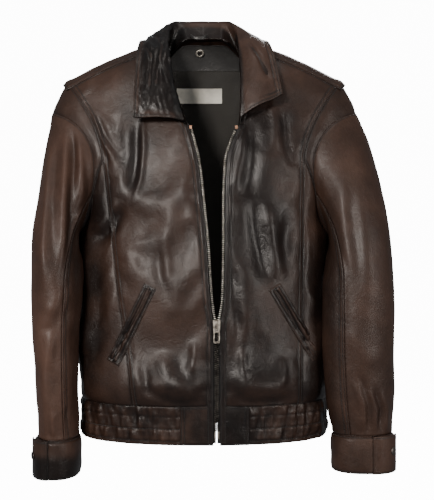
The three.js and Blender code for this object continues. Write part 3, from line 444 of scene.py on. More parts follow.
def leaf(u, v):
    t = np.abs(2 * u - 1)
    p = lerp(collar_fold(u), both(lambda side, t: COLLAR[side][1](t), u), v[..., None])
    lift = 8 * np.sin(math.pi * np.minimum(v * 1.2, 1)) * (1 - 0.3 * t)
    forward = np.clip((t - 0.4) / 0.25, 0, 1)
    return p + vec(0, -lift * forward, lift * (1 - 0.5 * forward))


def stand(u, v):
    return lerp(both(neck_seam, u), collar_fold(u), v[..., None] * 0.98)


# ---------------------------------------------------------------- folds

# Each is a line of (x, z) points with a width and a height: above zero for a ridge, below for a valley.
FRONT_FOLDS = [
    ([(-190, -80), (-169, -135), (-139, -192)], 4.5, -2.8),
    ([(-181, -80), (-161, -130), (-133, -180)], 4, 2.2),
    ([(-172, -88), (-154, -128), (-129, -168)], 4, -2.0),
    ([(-96, -90), (-94, -150), (-97, -195), (-110, -245)], 4.2, 3.0),
    ([(-106, -100), (-105, -165), (-116, -225)], 8, -4.2),
    ([(-140, -90), (-132, -140), (-126, -185)], 9, -2),
    ([(-57, -270), (-57, -320), (-52, -372)], 9, 2.5),
    ([(-70, -290), (-66, -340), (-48, -400)], 9, -2),
    ([(-124, -236), (-150, -280), (-178, -300)], 11, -6),
    ([(-128, -225), (-150, -262), (-176, -280)], 8, 4),
    ([(-40, -180), (-20, -240), (0, -330), (8, -400)], 10, 2),
    ([(71, -225), (84, -300), (100, -375)], 12, -6),
    ([(94, -215), (106, -290), (114, -360)], 10, 4),
    ([(38, -310), (46, -380), (56, -450)], 11, -5),
    ([(62, -110), (58, -165), (46, -225)], 9, 3.5),
    ([(76, -100), (78, -170), (64, -240)], 12, -4),
    ([(106, -60), (114, -110), (112, -160)], 8, 3),
    ([(126, -80), (130, -140), (140, -190)], 8, -3),
    ([(60, -380), (64, -440), (58, -500)], 10, 3),
    ([(132, -230), (126, -300), (134, -372)], 9, -2.5),
    ([(-66, -455), (-52, -500), (-22, -522), (4, -505)], 13, 4),
    ([(-92, -470), (-84, -520), (-40, -541), (6, -536)], 8, -4),
    ([(-16, -440), (-12, -478), (-26, -498)], 7, 3),
    ([(46, -486), (66, -512), (108, -516), (126, -490)], 13, 4.5),
    ([(40, -520), (70, -540), (120, -540), (146, -524)], 8, -4),
    ([(58, -455), (62, -492), (74, -506)], 6, 3),
    ([(118, -470), (122, -495), (120, -518)], 5, 2.5),
    ([(-172, -300), (-160, -400), (-168, -500)], 12, -4),
    ([(172, -280), (178, -380), (172, -480)], 12, -4),
]
BACK_FOLDS = [
    ([(-150, -140), (-110, -230), (-100, -340)], 16, 5),
    ([(-120, -150), (-85, -250), (-80, -380)], 14, -5),
    ([(150, -140), (112, -240), (96, -340)], 16, 5),
    ([(122, -150), (84, -260), (70, -400)], 14, -5),
    ([(-20, -180), (-10, -300), (-30, -440)], 20, 4),
    ([(30, -220), (24, -340), (40, -470)], 16, -4),
    ([(-120, -500), (-60, -520), (0, -505), (70, -522), (130, -500)], 16, 5),
    ([(-120, -536), (0, -538), (120, -536)], 9, -4),
    ([(-100, -60), (-40, -75), (40, -70), (110, -58)], 14, 2.5),
]
LEFT_SLEEVE_FOLDS = [
    ([(236, -110), (246, -200), (248, -320), (252, -420)], 12, 1.6),
    ([(214, -180), (218, -280), (228, -360)], 10, 2.5),
    ([(224, -200), (232, -300), (240, -380)], 9, -2.0),
    ([(216, -420), (246, -470), (280, -480)], 14, 2.2),
    ([(228, -500), (244, -545), (246, -590)], 5, 2.6),
    ([(236, -490), (252, -540), (254, -592)], 4.5, -3.4),
    ([(246, -505), (262, -550), (262, -592)], 5, 2.8),
    ([(258, -510), (272, -550), (270, -592)], 4.5, -3.2),
    ([(270, -520), (282, -556), (280, -592)], 5, 2.6),
    ([(216, -520), (224, -560), (226, -592)], 4.5, -2.4),
]
RIGHT_SLEEVE_FOLDS = [
    ([(-208, -96), (-204, -180), (-202, -270), (-206, -340)], 6, -6.5),
    ([(-220, -100), (-216, -190), (-214, -290), (-216, -360)], 5.5, 4.5),
    ([(-198, -110), (-193, -180), (-190, -250)], 5.5, 4),
    ([(-234, -120), (-232, -230), (-226, -350)], 7, -3),
    ([(-243, -110), (-243, -240), (-238, -380)], 6, 2.6),
    ([(-204, -360), (-224, -395), (-246, -400)], 10, 2.5),
    ([(-202, -392), (-226, -425), (-250, -432)], 9, -2.5),
    ([(-212, -430), (-226, -490), (-228, -560)], 8, -2.4),
    ([(-224, -420), (-238, -490), (-240, -570)], 8, 2.2),
    ([(-206, -540), (-212, -570), (-212, -596)], 4, -2.4),
    ([(-226, -550), (-228, -574), (-226, -596)], 4, 2.4),
]


def folds(p, listed):
    return sum(stroke(p[..., 0], p[..., 2], *f) for f in listed)


def body_relief(p, n, u, v):
    front = ease(0.5 - n[..., 1] * 2)
    cloth = 1.3 * noise(p, (34, 34, 90), 3) + 0.45 * noise(p, (13, 13, 30), 4)
    slack = 11 * np.exp(-(((np.abs(p[..., 0]) - 188) / 26) ** 2))
    side = slack * ease((-p[..., 2] - 235) / 50) * ease((500 + p[..., 2]) / 60)
    return front * folds(p, FRONT_FOLDS) + (1 - front) * folds(p, BACK_FOLDS) + cloth + side


def sleeve_relief(side):
    def relief(p, n, u, v):
        front = ease(0.5 - n[..., 1] * 2)
        listed = LEFT_SLEEVE_FOLDS if side > 0 else RIGHT_SLEEVE_FOLDS
        drag = vec(p[..., 0] + 0.5 * p[..., 2], p[..., 1], p[..., 2] - 0.4 * p[..., 0])
        cloth = 1.2 * noise(drag, (34, 34, 90), 8 + side) + 0.3 * noise(drag, (12, 12, 30), 5) - 2.2
        gather = ease((v - 0.87) / 0.13) * 1.5 * noise(p, (6, 9, 90), 21)
        quiet = ease(v / 0.06)
        return (front * folds(p, listed) + (1 - front) * 0.8 * folds(p, listed) + cloth + gather) * quiet
    return relief


# ---------------------------------------------------------------- materials

def tree(name):
    material = bpy.data.materials.new(name)
    material.use_nodes = True
    nodes, links = material.node_tree.nodes, material.node_tree.links
    return material, nodes, links, nodes["Principled BSDF"]


def node(nodes, kind, **values):
    made = nodes.new(kind)
    for key, value in values.items():
        if hasattr(made, key):
            setattr(made, key, value)
        else:
            made.inputs[key.replace("_", " ").title()].default_value = value
    return made


def ramp(nodes, stops):
    made = nodes.new("ShaderNodeValToRGB")
    elements = made.color_ramp.elements
    while len(elements) < len(stops):
        elements.new(0.5)
    for element, (place, colour) in zip(elements, stops):
        element.position = place
        element.color = (*colour, 1)
    return made


def place_on(nodes, links, textures):
    """Textures lie on the object's own coordinates."""
    place = nodes.new("ShaderNodeTexCoord").outputs["Object"]
    for texture in textures:
        links.new(place, texture.inputs["Vector"])


def colour_by(nodes, links, shader, amount, stops):
    colour = ramp(nodes, stops)
    links.new(amount, colour.inputs[0])
    links.new(colour.outputs[0], shader.inputs["Base Color"])


def maths(nodes, links, operation, *values):
    """A maths node on sockets and plain numbers."""
    made = node(nodes, "ShaderNodeMath", operation=operation)
    for socket, value in zip(made.inputs, values):
        if isinstance(value, float):
            socket.default_value = value
        else:
            links.new(value, socket)
    return made.outputs[0]


def add_bump(nodes, links, shader, heights):
    """Bump from (socket, strength, distance) triples, one over the other."""
    last = None
    for socket, strength, distance in heights:
        bump = node(nodes, "ShaderNodeBump", Strength=strength, Distance=distance)
        links.new(socket, bump.inputs["Height"])
        if last:
            links.new(last.outputs[0], bump.inputs["Normal"])
        last = bump
    links.new(last.outputs[0], shader.inputs["Normal"])


def leather(name, stops, rough=(0.19, 0.38), mottle=0.5):
    """Aged, glossy leather: colour by wear and by the painted shade and highlights in the tone attribute,
    pebbled grain and fine creases.
    """
    material, nodes, links, shader = tree(name)
    tone = node(nodes, "ShaderNodeAttribute", attribute_name="tone")
    cloud = node(nodes, "ShaderNodeTexNoise", Scale=13.0, Detail=5.0, Roughness=0.6)
    speck = node(nodes, "ShaderNodeTexNoise", Scale=240.0, Detail=3.0, Roughness=0.6)
    pebble = node(nodes, "ShaderNodeTexVoronoi", Scale=620.0)
    crease = node(nodes, "ShaderNodeTexNoise", Scale=70.0, Detail=7.0, Roughness=0.62, Distortion=1.2)
    place_on(nodes, links, (cloud, speck, pebble, crease))
    blotches = maths(nodes, links, "MULTIPLY_ADD", cloud.outputs["Fac"], mottle, -mottle / 2)
    # tone holds the leather's own wear and darker patches together with painted shade in folds, seams and
    # recesses and painted highlights.
    worn = maths(nodes, links, "ADD", blotches, tone.outputs["Fac"])
    flecks = maths(nodes, links, "MULTIPLY_ADD", speck.outputs["Fac"], 0.16, -0.08)
    total = maths(nodes, links, "ADD", worn, flecks)
    colour_by(nodes, links, shader, total, stops)
    dull = node(nodes, "ShaderNodeMapRange", From_Min=0.2, From_Max=0.75, To_Min=rough[0], To_Max=rough[1])
    links.new(total, dull.inputs["Value"])
    uneven = maths(nodes, links, "MULTIPLY_ADD", crease.outputs["Fac"], 0.3, dull.outputs["Result"])
    links.new(uneven, shader.inputs["Roughness"])
    shader.inputs["Specular IOR Level"].default_value = 0.3
    shader.inputs["Coat Weight"].default_value = 0.05
    shader.inputs["Coat Roughness"].default_value = 0.25
    add_bump(nodes, links, shader, [
        (crease.outputs["Fac"], 0.5, 0.0016),
        (pebble.outputs["Distance"], 0.35, 0.00035),
        (speck.outputs["Fac"], 0.3, 0.0003)])
    return material


def fabric(name, colour, pale, scale=900.0, rough=0.75, sheen=0.15, twill=True):
    material, nodes, links, shader = tree(name)
    weave = node(nodes, "ShaderNodeTexWave", wave_type="BANDS", bands_direction="DIAGONAL" if twill else "Z",
                 Scale=scale, Distortion=0.6)
    cloud = node(nodes, "ShaderNodeTexNoise", Scale=22.0, Detail=6.0)
    crease = node(nodes, "ShaderNodeTexNoise", Scale=60.0, Detail=5.0, Distortion=0.8)
    place_on(nodes, links, (weave, cloud, crease))
    colour_by(nodes, links, shader, cloud.outputs["Fac"], [(0.3, colour), (0.7, pale)])
    shader.inputs["Roughness"].default_value = rough
    shader.inputs["Sheen Weight"].default_value = sheen
    add_bump(nodes, links, shader, [
        (crease.outputs["Fac"], 0.4, 0.0015),
        (weave.outputs["Fac"], 0.4, 0.0002)])
    return material


def metal(name, colour, dark, rough=(0.24, 0.5)):
    material, nodes, links, shader = tree(name)
    stain = node(nodes, "ShaderNodeTexNoise", Scale=130.0, Detail=6.0)
    scratch = node(nodes, "ShaderNodeTexNoise", Scale=900.0, Detail=4.0)
    place_on(nodes, links, (stain, scratch))
    colour_by(nodes, links, shader, stain.outputs["Fac"], [(0.35, dark), (0.6, colour)])
    shader.inputs["Metallic"].default_value = 1
    dull = node(nodes, "ShaderNodeMapRange", To_Min=rough[0], To_Max=rough[1])
    links.new(stain.outputs["Fac"], dull.inputs["Value"])
    links.new(dull.outputs["Result"], shader.inputs["Roughness"])
    add_bump(nodes, links, shader, [(scratch.outputs["Fac"], 0.2, 0.0002)])
    return material


BROWN = [(0.0, (0.0035, 0.0030, 0.0030)), (0.35, (0.0105, 0.0062, 0.0050)), (0.62, (0.036, 0.0185, 0.0125)),
         (1.0, (0.090, 0.047, 0.033))]
GREY = [(0.0, (0.012, 0.012, 0.012)), (0.5, (0.045, 0.044, 0.043)), (1.0, (0.12, 0.12, 0.12))]
SKIN = leather("leather_brown", BROWN)
FACING = leather("leather_facing", BROWN, rough=(0.25, 0.45), mottle=0.3)
NECK = leather("leather_neck", GREY, rough=(0.15, 0.3), mottle=0.4)
THREAD = fabric("thread_dark", (0.006, 0.005, 0.005), (0.02, 0.013, 0.01), scale=2500.0)
CLOTH = fabric("lining_twill", (0.011, 0.0092, 0.0066), (0.017, 0.0142, 0.0102), rough=0.62, sheen=0.12)
TAPE = fabric("zip_tape_weave", (0.004, 0.004, 0.004), (0.010, 0.010, 0.010), scale=1400.0, twill=False)
ELASTIC = fabric("waist_rib", (0.012, 0.011, 0.011), (0.02, 0.018, 0.018), scale=300.0, twill=False)
LABEL = fabric("label_satin", (0.40, 0.38, 0.33), (0.95, 0.92, 0.82), scale=1100.0, rough=0.5, twill=False)
SILVER = metal("antique_silver", (0.66, 0.61, 0.53), (0.16, 0.14, 0.12), rough=(0.34, 0.55))
RING = metal("ring_silver", (0.86, 0.81, 0.72), (0.42, 0.39, 0.34), rough=(0.42, 0.6))
TEETH = metal("antique_teeth", (0.60, 0.56, 0.50), (0.22, 0.20, 0.17))
# A darker copy of the teeth: painted shade for the closed part of the chain between the plackets.
SHADED_TEETH = metal("antique_teeth_closed_shaded", (0.10, 0.09, 0.08), (0.02, 0.018, 0.015))
COPPER = metal("copper_stop", (0.40, 0.23, 0.15), (0.18, 0.09, 0.06))
DARK_METAL = metal("dark_snap", (0.20, 0.18, 0.16), (0.06, 0.05, 0.05))


# ---------------------------------------------------------------- building meshes

def make(name, verts, quads, materials, which=None, tone=None):
    """A mesh object from points in mm and quads; which gives each quad's material."""
    mesh = bpy.data.meshes.new(name)
    verts, quads = np.asarray(verts, float) / 1000, np.asarray(quads, np.int32)
    mesh.vertices.add(len(verts))
    mesh.vertices.foreach_set("co", verts.astype(np.float32).ravel())
    mesh.loops.add(quads.size)
    mesh.loops.foreach_set("vertex_index", quads.ravel())
    mesh.polygons.add(len(quads))
    mesh.polygons.foreach_set("loop_start", np.arange(0, quads.size, 4, dtype=np.int32))
    if which is not None:
        mesh.polygons.foreach_set("material_index", np.asarray(which, np.int32))
    for material in materials:
        mesh.materials.append(material)
    mesh.update(calc_edges=True)
    mesh.validate()
    mesh.shade_smooth()
    if tone is not None:
        mesh.attributes.new("tone", "FLOAT", "POINT").data.foreach_set("value", np.asarray(tone, np.float32))
    made = bpy.data.objects.new(name, mesh)
    bpy.context.scene.collection.objects.link(made)
    return made


def points_mm(mesh):
    co = np.zeros(len(mesh.vertices) * 3, np.float32)
    mesh.vertices.foreach_get("co", co)
    return co.reshape(-1, 3).astype(float) * 1000


# A small block with tapered ends, for stitches and zip teeth: 4 rings of 4 points.
RINGS = [(-1, 0.55), (-0.6, 1), (0.6, 1), (1, 0.55)]
BEAD = np.array([(a, y * s, z * s) for a, s in RINGS for y, z in ((-1, -1), (1, -1), (1, 1), (-1, 1))], float)
BEAD_SIDES = [(k, (k + 1) % 4, 4 + (k + 1) % 4, 4 + k) for k in range(4)]
BEAD_QUADS = np.array([[4 * r + i for i in side[::-1]] for r in range(3) for side in BEAD_SIDES]
                      + [[0, 1, 2, 3], [15, 14, 13, 12]])


def beads(centres, along, up, size):
    """Blocks at centres, long in the direction along; size is half of each dimension."""
    along, up = unit(along), unit(up)
    cross = unit(np.cross(up, along))
    up = np.cross(along, cross)
    axes = np.stack([along * size[0], cross * size[1], up * size[2]], -2)
    verts = centres[:, None, :] + np.einsum("vk,nkd->nvd", BEAD, axes)
    quads = BEAD_QUADS[None] + 16 * np.arange(len(centres))[:, None, None]
    return verts.reshape(-1, 3), quads.reshape(-1, 4)


def params(length, step, dense_start, dense_end):
    """Column places with extra ones near both ends, where edges roll and stitches pull."""
    close = (0, 0.7, 1.6, 2.6, 3.5, 4.6, 5.8, 6.7, 7.6, 9.0)
    near = (0, 0.8, 2.0, 4.0)
    first = np.array(close if dense_start else near)
    last = length - np.array(close if dense_end else near)[::-1]
    count = max(2, int(round((last[0] - first[-1]) / step)))
    middle = np.linspace(first[-1], last[0], count + 1)
    return np.concatenate([first[:-1], middle, last[1:]]) / length


def cells(index):
    """The quads of a grid of point numbers."""
    return np.stack([index[:-1, :-1], index[1:, :-1], index[1:, 1:], index[:-1, 1:]], -1).reshape(-1, 4)


def strip(a, b):
    """The quads between two lines of point numbers."""
    return np.stack([a[:-1], a[1:], b[1:], b[:-1]], -1)


def inset(at, gap, gap_u=None):
    gap_u = gap if gap_u is None else gap_u

    def length(point):
        steps = [point(i / 4) for i in range(5)]
        run = sum(np.linalg.norm(b - a, axis=-1) for a, b in zip(steps, steps[1:]))
        return np.maximum(run, 4 * max(gap, 0.1))

    def inner(u, v):
        gu = gap_u / length(lambda t: at(0 * u + t, v))
        gv = gap / length(lambda t: at(u, 0 * v + t))
        return at(lerp(gu, 1 - gu, u), lerp(gv, 1 - gv, v))
    return inner


def grid_normals(p, inside, ring):
    du = np.roll(p, -1, 0) - np.roll(p, 1, 0) if ring else np.gradient(p, axis=0)
    n = unit(np.cross(du, np.gradient(p, axis=1)))
    return n if np.sum(n * (p - inside(p))) > 0 else -n


def arc(p, axis):
    step = np.linalg.norm(np.diff(p, axis=axis), axis=-1)
    zero = np.zeros_like(np.take(step, [0], axis))
    return np.concatenate([zero, np.cumsum(step, axis)], axis)


SIM = {}
PITCH = 3.4


def sheet_piece(name, at, low, high, inside=body_middle, step=4.0, size=None, rows=(), relief=None, puff=1.2,
                ring=False, material=None, tone=0.5, body_name="jacket", nodes=None, welt=0.0,
                pitch=PITCH, shadow=1.0, dense=None):
    """A leather or cloth panel: an outer and an inner face joined round the edge, with folds and seams."""
    length_u, length_v = size or rough_size(at)
    edges = {edge for edge, _ in rows} if dense is None else set(dense)
    us = np.arange(0, 1, step / length_u) if ring else params(length_u, step, "u0" in edges, "u1" in edges)
    vs = params(length_v, step, "v0" in edges, "v1" in edges)
    u, v = np.meshgrid(us, vs, indexing="ij")
    p = at(u, v)
    n = grid_normals(p, inside, ring)
    across, down = arc(p, 0), arc(p, 1)
    far = {"u0": across, "u1": across[-1] - across, "v0": down, "v1": down[:, -1:] - down}
    if ring:
        far["u0"] = far["u1"] = np.full(across.shape, 1e3)
    nearest = np.minimum.reduce(list(far.values()))
    lift = relief(p, n, u, v) if relief is not None else 0 * u
    lift = lift * ease(nearest / 9) * 0.75 + lift * 0.25
    pucker = 0.5 + 0.5 * noise(p, 9, 31)
    lift = lift + puff * (1 - np.exp(-((nearest / 11) ** 2)))
    lift = lift - 0.5 * puff * pucker * np.exp(-((nearest / 4) ** 2))
    shade = -0.10 * shadow * np.exp(-((nearest / 2.2) ** 2))
    for edge, distance in rows:
        d = far[edge]
        lift = lift - 0.45 * np.exp(-(((d - distance) / 0.9) ** 2))
        lift = lift + welt * ease((distance + 1.2 - d) / 1.6) * (d < distance + 3)
        shade = shade - 0.16 * shadow * np.exp(-(((d - distance) / 1.3) ** 2))
        shade = shade + 0.08 * np.exp(-(((d - distance * 0.5) / 1.6) ** 2))
    drop = 0.5 * (high - low) * np.exp(-((nearest / 0.8) ** 2))
    if name in SIM:
        p = p + sample(SIM[name], u, v)
    outer = p + n * (high + lift - drop)[..., None]
    inner = p + n * (np.minimum(low + lift, high + lift - drop - 0.25))[..., None]
    columns, heights = u.shape
    verts = np.concatenate([outer.reshape(-1, 3), inner.reshape(-1, 3)])
    index = np.arange(columns * heights).reshape(columns, heights)
    if ring:
        index = np.vstack([index, index[:1]])
    face = cells(index)
    total = columns * heights
    sides = [strip(index[:, -1], index[:, -1] + total), strip(index[:, 0] + total, index[:, 0])]
    if not ring:
        sides += [strip(index[-1] + total, index[-1]), strip(index[0], index[0] + total)]
    quads = np.concatenate([face, face[:, ::-1] + total] + [s[:, ::-1] for s in sides])
    if facing(outer, n, ring):
        quads = quads[:, ::-1]
    # Painted shade in the fold valleys; raised places lighter, partly rubbed wear and partly painted
    # highlight.
    ridge = 0.02 * np.clip(lift, -6, 6)
    tones = (tone(p, n, u, v) if callable(tone) else tone + 0 * u) + shade + ridge
    lines = [seam_line(outer, n, far[edge], edge, distance) for edge, distance in rows]
    made = stitched(name + "_skin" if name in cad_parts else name, verts, quads, tones, lines, pitch,
                    [material or SKIN, THREAD])
    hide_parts(*(nodes or [name]))
    if body_name:
        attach(made, body_name)
    return made


def rough_size(at):
    t = np.linspace(0, 1, 9)
    half = np.full(9, 0.5)
    return tuple(float(np.linalg.norm(np.diff(p, axis=0), axis=-1).sum()) for p in (at(t, half), at(half, t)))


def facing(p, n, ring):
    du = np.roll(p, -1, 0) - p if ring else np.gradient(p, axis=0)
    return np.sum(np.cross(du, np.gradient(p, axis=1)) * n) < 0


def seam_line(outer, n, far, edge, distance):
    """Points of the outer face at a distance from one edge, with the face's normals there."""
    points, ups = [], []
    grid, normal = outer, n
    if edge[0] == "v":
        grid, normal, far = grid.transpose(1, 0, 2), normal.transpose(1, 0, 2), far.T
    if edge[1] == "1":
        grid, normal, far = grid[::-1], normal[::-1], far[::-1]
    for j in range(grid.shape[1]):
        if far[-1, j] < distance * 1.5:
            continue
        at = np.interp(distance, far[:, j], np.arange(len(far)))
        i = min(int(at), len(far) - 2)
        points.append(lerp(grid[i, j], grid[i + 1, j], at - i))
        ups.append(normal[i, j])
    return np.array(points), np.array(ups)


def stitches(line, ups, pitch):
    run = np.concatenate([[0], np.cumsum(np.linalg.norm(np.diff(line, axis=0), axis=1))])
    places = np.arange(pitch / 2, run[-1], pitch)

    def read(at, values):
        return np.stack([np.interp(at, run, values[:, k]) for k in range(3)], -1)
    up = read(places, ups)
    along = read(places + 0.4, line) - read(places - 0.4, line)
    return beads(read(places, line) + unit(up) * 0.1, along, up, (pitch * 0.38, 0.34, 0.3))


def stitched(name, verts, quads, tones, lines, pitch, materials):
    """A panel's mesh with a row of stitches along each seam line; the inner face is a little darker."""
    which = np.zeros(len(quads), int)
    tones = np.concatenate([tones.ravel(), tones.ravel() - 0.05])
    for line, ups in lines:
        if len(line) < 3:
            continue
        stitch_verts, stitch_quads = stitches(line, ups, pitch)
        quads = np.concatenate([quads, stitch_quads + len(verts)])
        which = np.concatenate([which, np.ones(len(stitch_quads), int)])
        verts = np.concatenate([verts, stitch_verts])
        tones = np.concatenate([tones, np.full(len(stitch_verts), 0.2)])
    return make(name, verts, quads, materials, which, tones)


def sample(grid, u, v):
    """A vector from an even grid over the panel, at fine places."""
    gu, gv = u * (grid.shape[0] - 1), v * (grid.shape[1] - 1)
    i, j = np.minimum(gu.astype(int), grid.shape[0] - 2), np.minimum(gv.astype(int), grid.shape[1] - 2)
    a, b = ease(gu - i) * 0.35 + (gu - i) * 0.65, ease(gv - j) * 0.35 + (gv - j) * 0.65
    a, b = a[..., None], b[..., None]
    return lerp(lerp(grid[i, j], grid[i + 1, j], a), lerp(grid[i, j + 1], grid[i + 1, j + 1], a), b)


# ---------------------------------------------------------------- tones: how dark or rubbed each place is, with painted shade and highlights

# Mostly painted shade: fold valleys, the gap along the closed zip and the sides beside the sleeves; the
# lowest blots partly the leather's darker patches.
# Dark places on the front: the middle's x and z, the half sizes and how much darker.
FRONT_SHADE_AND_PATCHES = [
    (-32, -500, 60, 42, -0.20), (88, -500, 62, 46, -0.24), (70, -130, 46, 75, -0.28),
    (80, -290, 64, 110, -0.32), (-110, -140, 26, 80, -0.10), (-60, -280, 60, 80, -0.05),
    (120, -420, 60, 90, -0.06), (-178, -400, 22, 170, -0.34), (182, -400, 22, 170, -0.30),
    (-150, -262, 30, 26, -0.2), (20, -480, 12, 90, -0.12),
]


def blot(p, x, z, rx, rz, amount):
    return amount * np.exp(-(((p[..., 0] - x) / rx) ** 2) - ((p[..., 2] - z) / rz) ** 2)


def body_tone(p, n, u, v):
    front = ease(0.5 - n[..., 1] * 2)
    dark = sum(blot(p, *place) for place in FRONT_SHADE_AND_PATCHES)
    # Painted highlight on the shoulder tops, where the light from above falls.
    shoulder_highlight = blot(p, -166, -30, 60, 18, 0.10) + blot(p, 166, -30, 60, 18, 0.10)
    return 0.55 + front * dark + shoulder_highlight + 0.09 * noise(p, 55, 61) + 0.05 * noise(p, 17, 62)


def sleeve_tone(p, n, u, v):
    x = p[..., 0]
    # Painted shade on the side of each sleeve that faces the body, lower down.
    inner = -0.14 * np.exp(-(((np.abs(x) - 200) / 14) ** 2)) * ease((-p[..., 2] - 200) / 80)
    # Painted light on the lower part of the wearer's right sleeve.
    low = 0.14 * ease((-p[..., 2] - 330) / 120) * (x < 0)
    uneven = 0.07 * noise(p, (60, 60, 90), 63) + 0.04 * noise(p, 16, 64)
    # The wearer's right sleeve is painted lighter and the left darker, for how the light falls on each.
    return 0.68 + inner + low - 0.05 * np.sign(x) + uneven


# ---------------------------------------------------------------- body panels

def sleeve_inside(side):
    axis = np.array([sleeve_middle(side, t)[0] for t in np.linspace(0, 1, 21)])

    def inside(p):
        near = np.argmin(np.abs(p[..., 2, None] - axis[:, 2]), -1)
        return axis[near]
    return inside


def cuff_inside(side):
    outer, inner = SLEEVES[side]["cuff"][:2]
    return lambda p: vec(side * (outer + inner) / 2 + 0 * p[..., 0], float(sleeve_y(1)), p[..., 2])


# The panels that hang in folds: each one's surface, and where its inside is.
PANELS = {}
for side in (-1, 1):
    word, inside = NAMES[side], sleeve_inside(side)
    PANELS["front_" + word] = (front_panel(side), body_middle)
    PANELS["front_side_" + word] = (side_panel(side, False), body_middle)
    PANELS["back_side_" + word] = (side_panel(side, True), body_middle)
    PANELS["sleeve_top_" + word] = (lambda u, v, s=side: sleeve(s, lerp(-120, 120, u), v), inside)
    PANELS["sleeve_under_" + word] = (lambda u, v, s=side: sleeve(s, lerp(120, 240, u), v), inside)
PANELS["back_centre"] = (back_centre, body_middle)


def near_pocket(p, n):
    """1 on and round the pocket welts, where the stiffened leather lies flat."""
    lines = [(-58, -334), (-166, -520)], [(80, -330), (205, -520)]
    on = sum(stroke(p[..., 0], p[..., 2], line, 26, 1) for line in lines)
    return np.clip(on * 1.6, 0, 1) * ease(0.5 - n[..., 1] * 2)


# The work mesh: its cell in mm, how many times life size it is, its frames, and the most a point may move.
DRAPE_CELL, DRAPE_SCALE, DRAPE_FRAMES, DRAPE_LIMIT = 9, 4, 36, 9


def drape():
    """The leather is a little longer than its seams, so it buckles and hangs in soft folds between them."""
    verts, quads, pinned, places = [], [], [], {}
    count = 0
    for name, (at, inside) in PANELS.items():
        length_u, length_v = rough_size(at)
        nu, nv = max(6, round(length_u / DRAPE_CELL)), max(8, round(length_v / DRAPE_CELL))
        u, v = np.meshgrid(np.linspace(0, 1, nu + 1), np.linspace(0, 1, nv + 1), indexing="ij")
        p = at(u, v)
        n = grid_normals(p, inside, False)
        start = p + n * (1.2 * noise(p, 40, 77))[..., None]
        index = count + np.arange(p[..., 0].size).reshape(p.shape[:2])
        quads.append(cells(index))
        rim = np.zeros(p.shape[:2], bool)
        rim[0], rim[-1], rim[:, 0], rim[:, -1] = True, True, True, True
        start[rim] = p[rim]
        verts.append(start.reshape(-1, 3))
        pinned.append(index[rim])
        places[name] = (index, p, n)
        count += p[..., 0].size
    cloth = make("drape_work", np.concatenate(verts) * DRAPE_SCALE, np.concatenate(quads), [])
    group = cloth.vertex_groups.new(name="seams")
    group.add([int(i) for i in np.concatenate(pinned)], 1.0, "REPLACE")
    modifier = cloth.modifiers.new("Cloth", "CLOTH")
    cloth_values = dict(quality=7, mass=0.5, tension_stiffness=40, compression_stiffness=40,
                        shear_stiffness=12, bending_stiffness=6, tension_damping=12, compression_damping=12,
                        bending_damping=2, air_damping=3, vertex_group_mass="seams", pin_stiffness=1,
                        shrink_min=-0.03)
    for key, value in cloth_values.items():
        setattr(modifier.settings, key, value)
    modifier.collision_settings.use_collision = False
    modifier.collision_settings.use_self_collision = False
    scene = bpy.context.scene
    modifier.point_cache.frame_start, modifier.point_cache.frame_end = 1, DRAPE_FRAMES + 4
    for step in range(1, DRAPE_FRAMES + 1):
        scene.frame_set(step)
    shaped = cloth.evaluated_get(bpy.context.evaluated_depsgraph_get()).to_mesh()
    co = points_mm(shaped) / DRAPE_SCALE
    scene.frame_set(1)
    bpy.data.objects.remove(cloth)
    for name, (index, p, n) in places.items():
        moved = co[index] - p
        size = np.linalg.norm(moved, axis=-1, keepdims=True)
        moved = moved * np.minimum(1, DRAPE_LIMIT / np.maximum(size, 1e-6)) * 0.6
        inward = np.sum(moved * n, -1, keepdims=True)
        moved = moved - n * np.minimum(inward, 0) * 0.5
        share = 0.25 if "sleeve" in name else 0.5 if name == "front_left" else 0.9
        SIM[name] = moved * share * (1 - 0.85 * near_pocket(p, n))[..., None]


drape()

DOUBLE = [2.6, 7.6]


def rows(**lines):
    """Rows of stitches as (edge, distance in mm) pairs."""
    return [(edge, float(d)) for edge, places in lines.items() for d in np.atleast_1d(places)]


for side in (-1, 1):
    word = NAMES[side]
    sheet_piece("front_" + word, inset(PANELS["front_" + word][0], 0.15), 0, LEATHER, step=3.6,
                rows=rows(u0=[1.8, 7.0], u1=DOUBLE, v1=2.6), relief=body_relief, tone=body_tone, welt=0.5)
    for name in ("front_side_" + word, "back_side_" + word):
        sheet_piece(name, inset(PANELS[name][0], 0.15), 0, LEATHER, rows=rows(v1=2.6), relief=body_relief,
                    tone=body_tone)
    sheet_piece("shoulder_strap_" + word, inset(lambda u, v, s=side: strap(s)(1.055 * u, v), 0.2), 0, LEATHER,
                size=(163, 95), rows=rows(v0=[2.4, 7.4], v1=[2.4, 7.4], u1=2.4), tone=body_tone, welt=0.5,
                relief=lambda p, n, u, v: 0.8 * noise(p, 22, 12) + 2.4 * ease((u - 0.88) / 0.06))


def yoke_relief(p, n, u, v):
    return 1.2 * noise(p, 40, 13) + 2 * np.exp(-((u - 0.5) / 0.2) ** 2) * noise(p, (60, 60, 16), 14)


sheet_piece("back_centre", inset(back_centre, 0.15), 0, LEATHER, rows=rows(u0=DOUBLE, u1=DOUBLE),
            relief=body_relief, tone=body_tone, welt=0.5)
sheet_piece("back_yoke", inset(back_yoke, 0.15), 0, LEATHER, size=(430, 130), rows=rows(v0=DOUBLE),
            relief=yoke_relief, tone=body_tone, welt=0.5)


# ---------------------------------------------------------------- waistband

def waist_strip(start, end):
    return lambda u, v: body(lerp(start, end, u), lerp(HEM, WAIST_TOP, v))


def hem_angle(x):
    return float(angle_of(np.array(float(x)), np.array(HEM)))


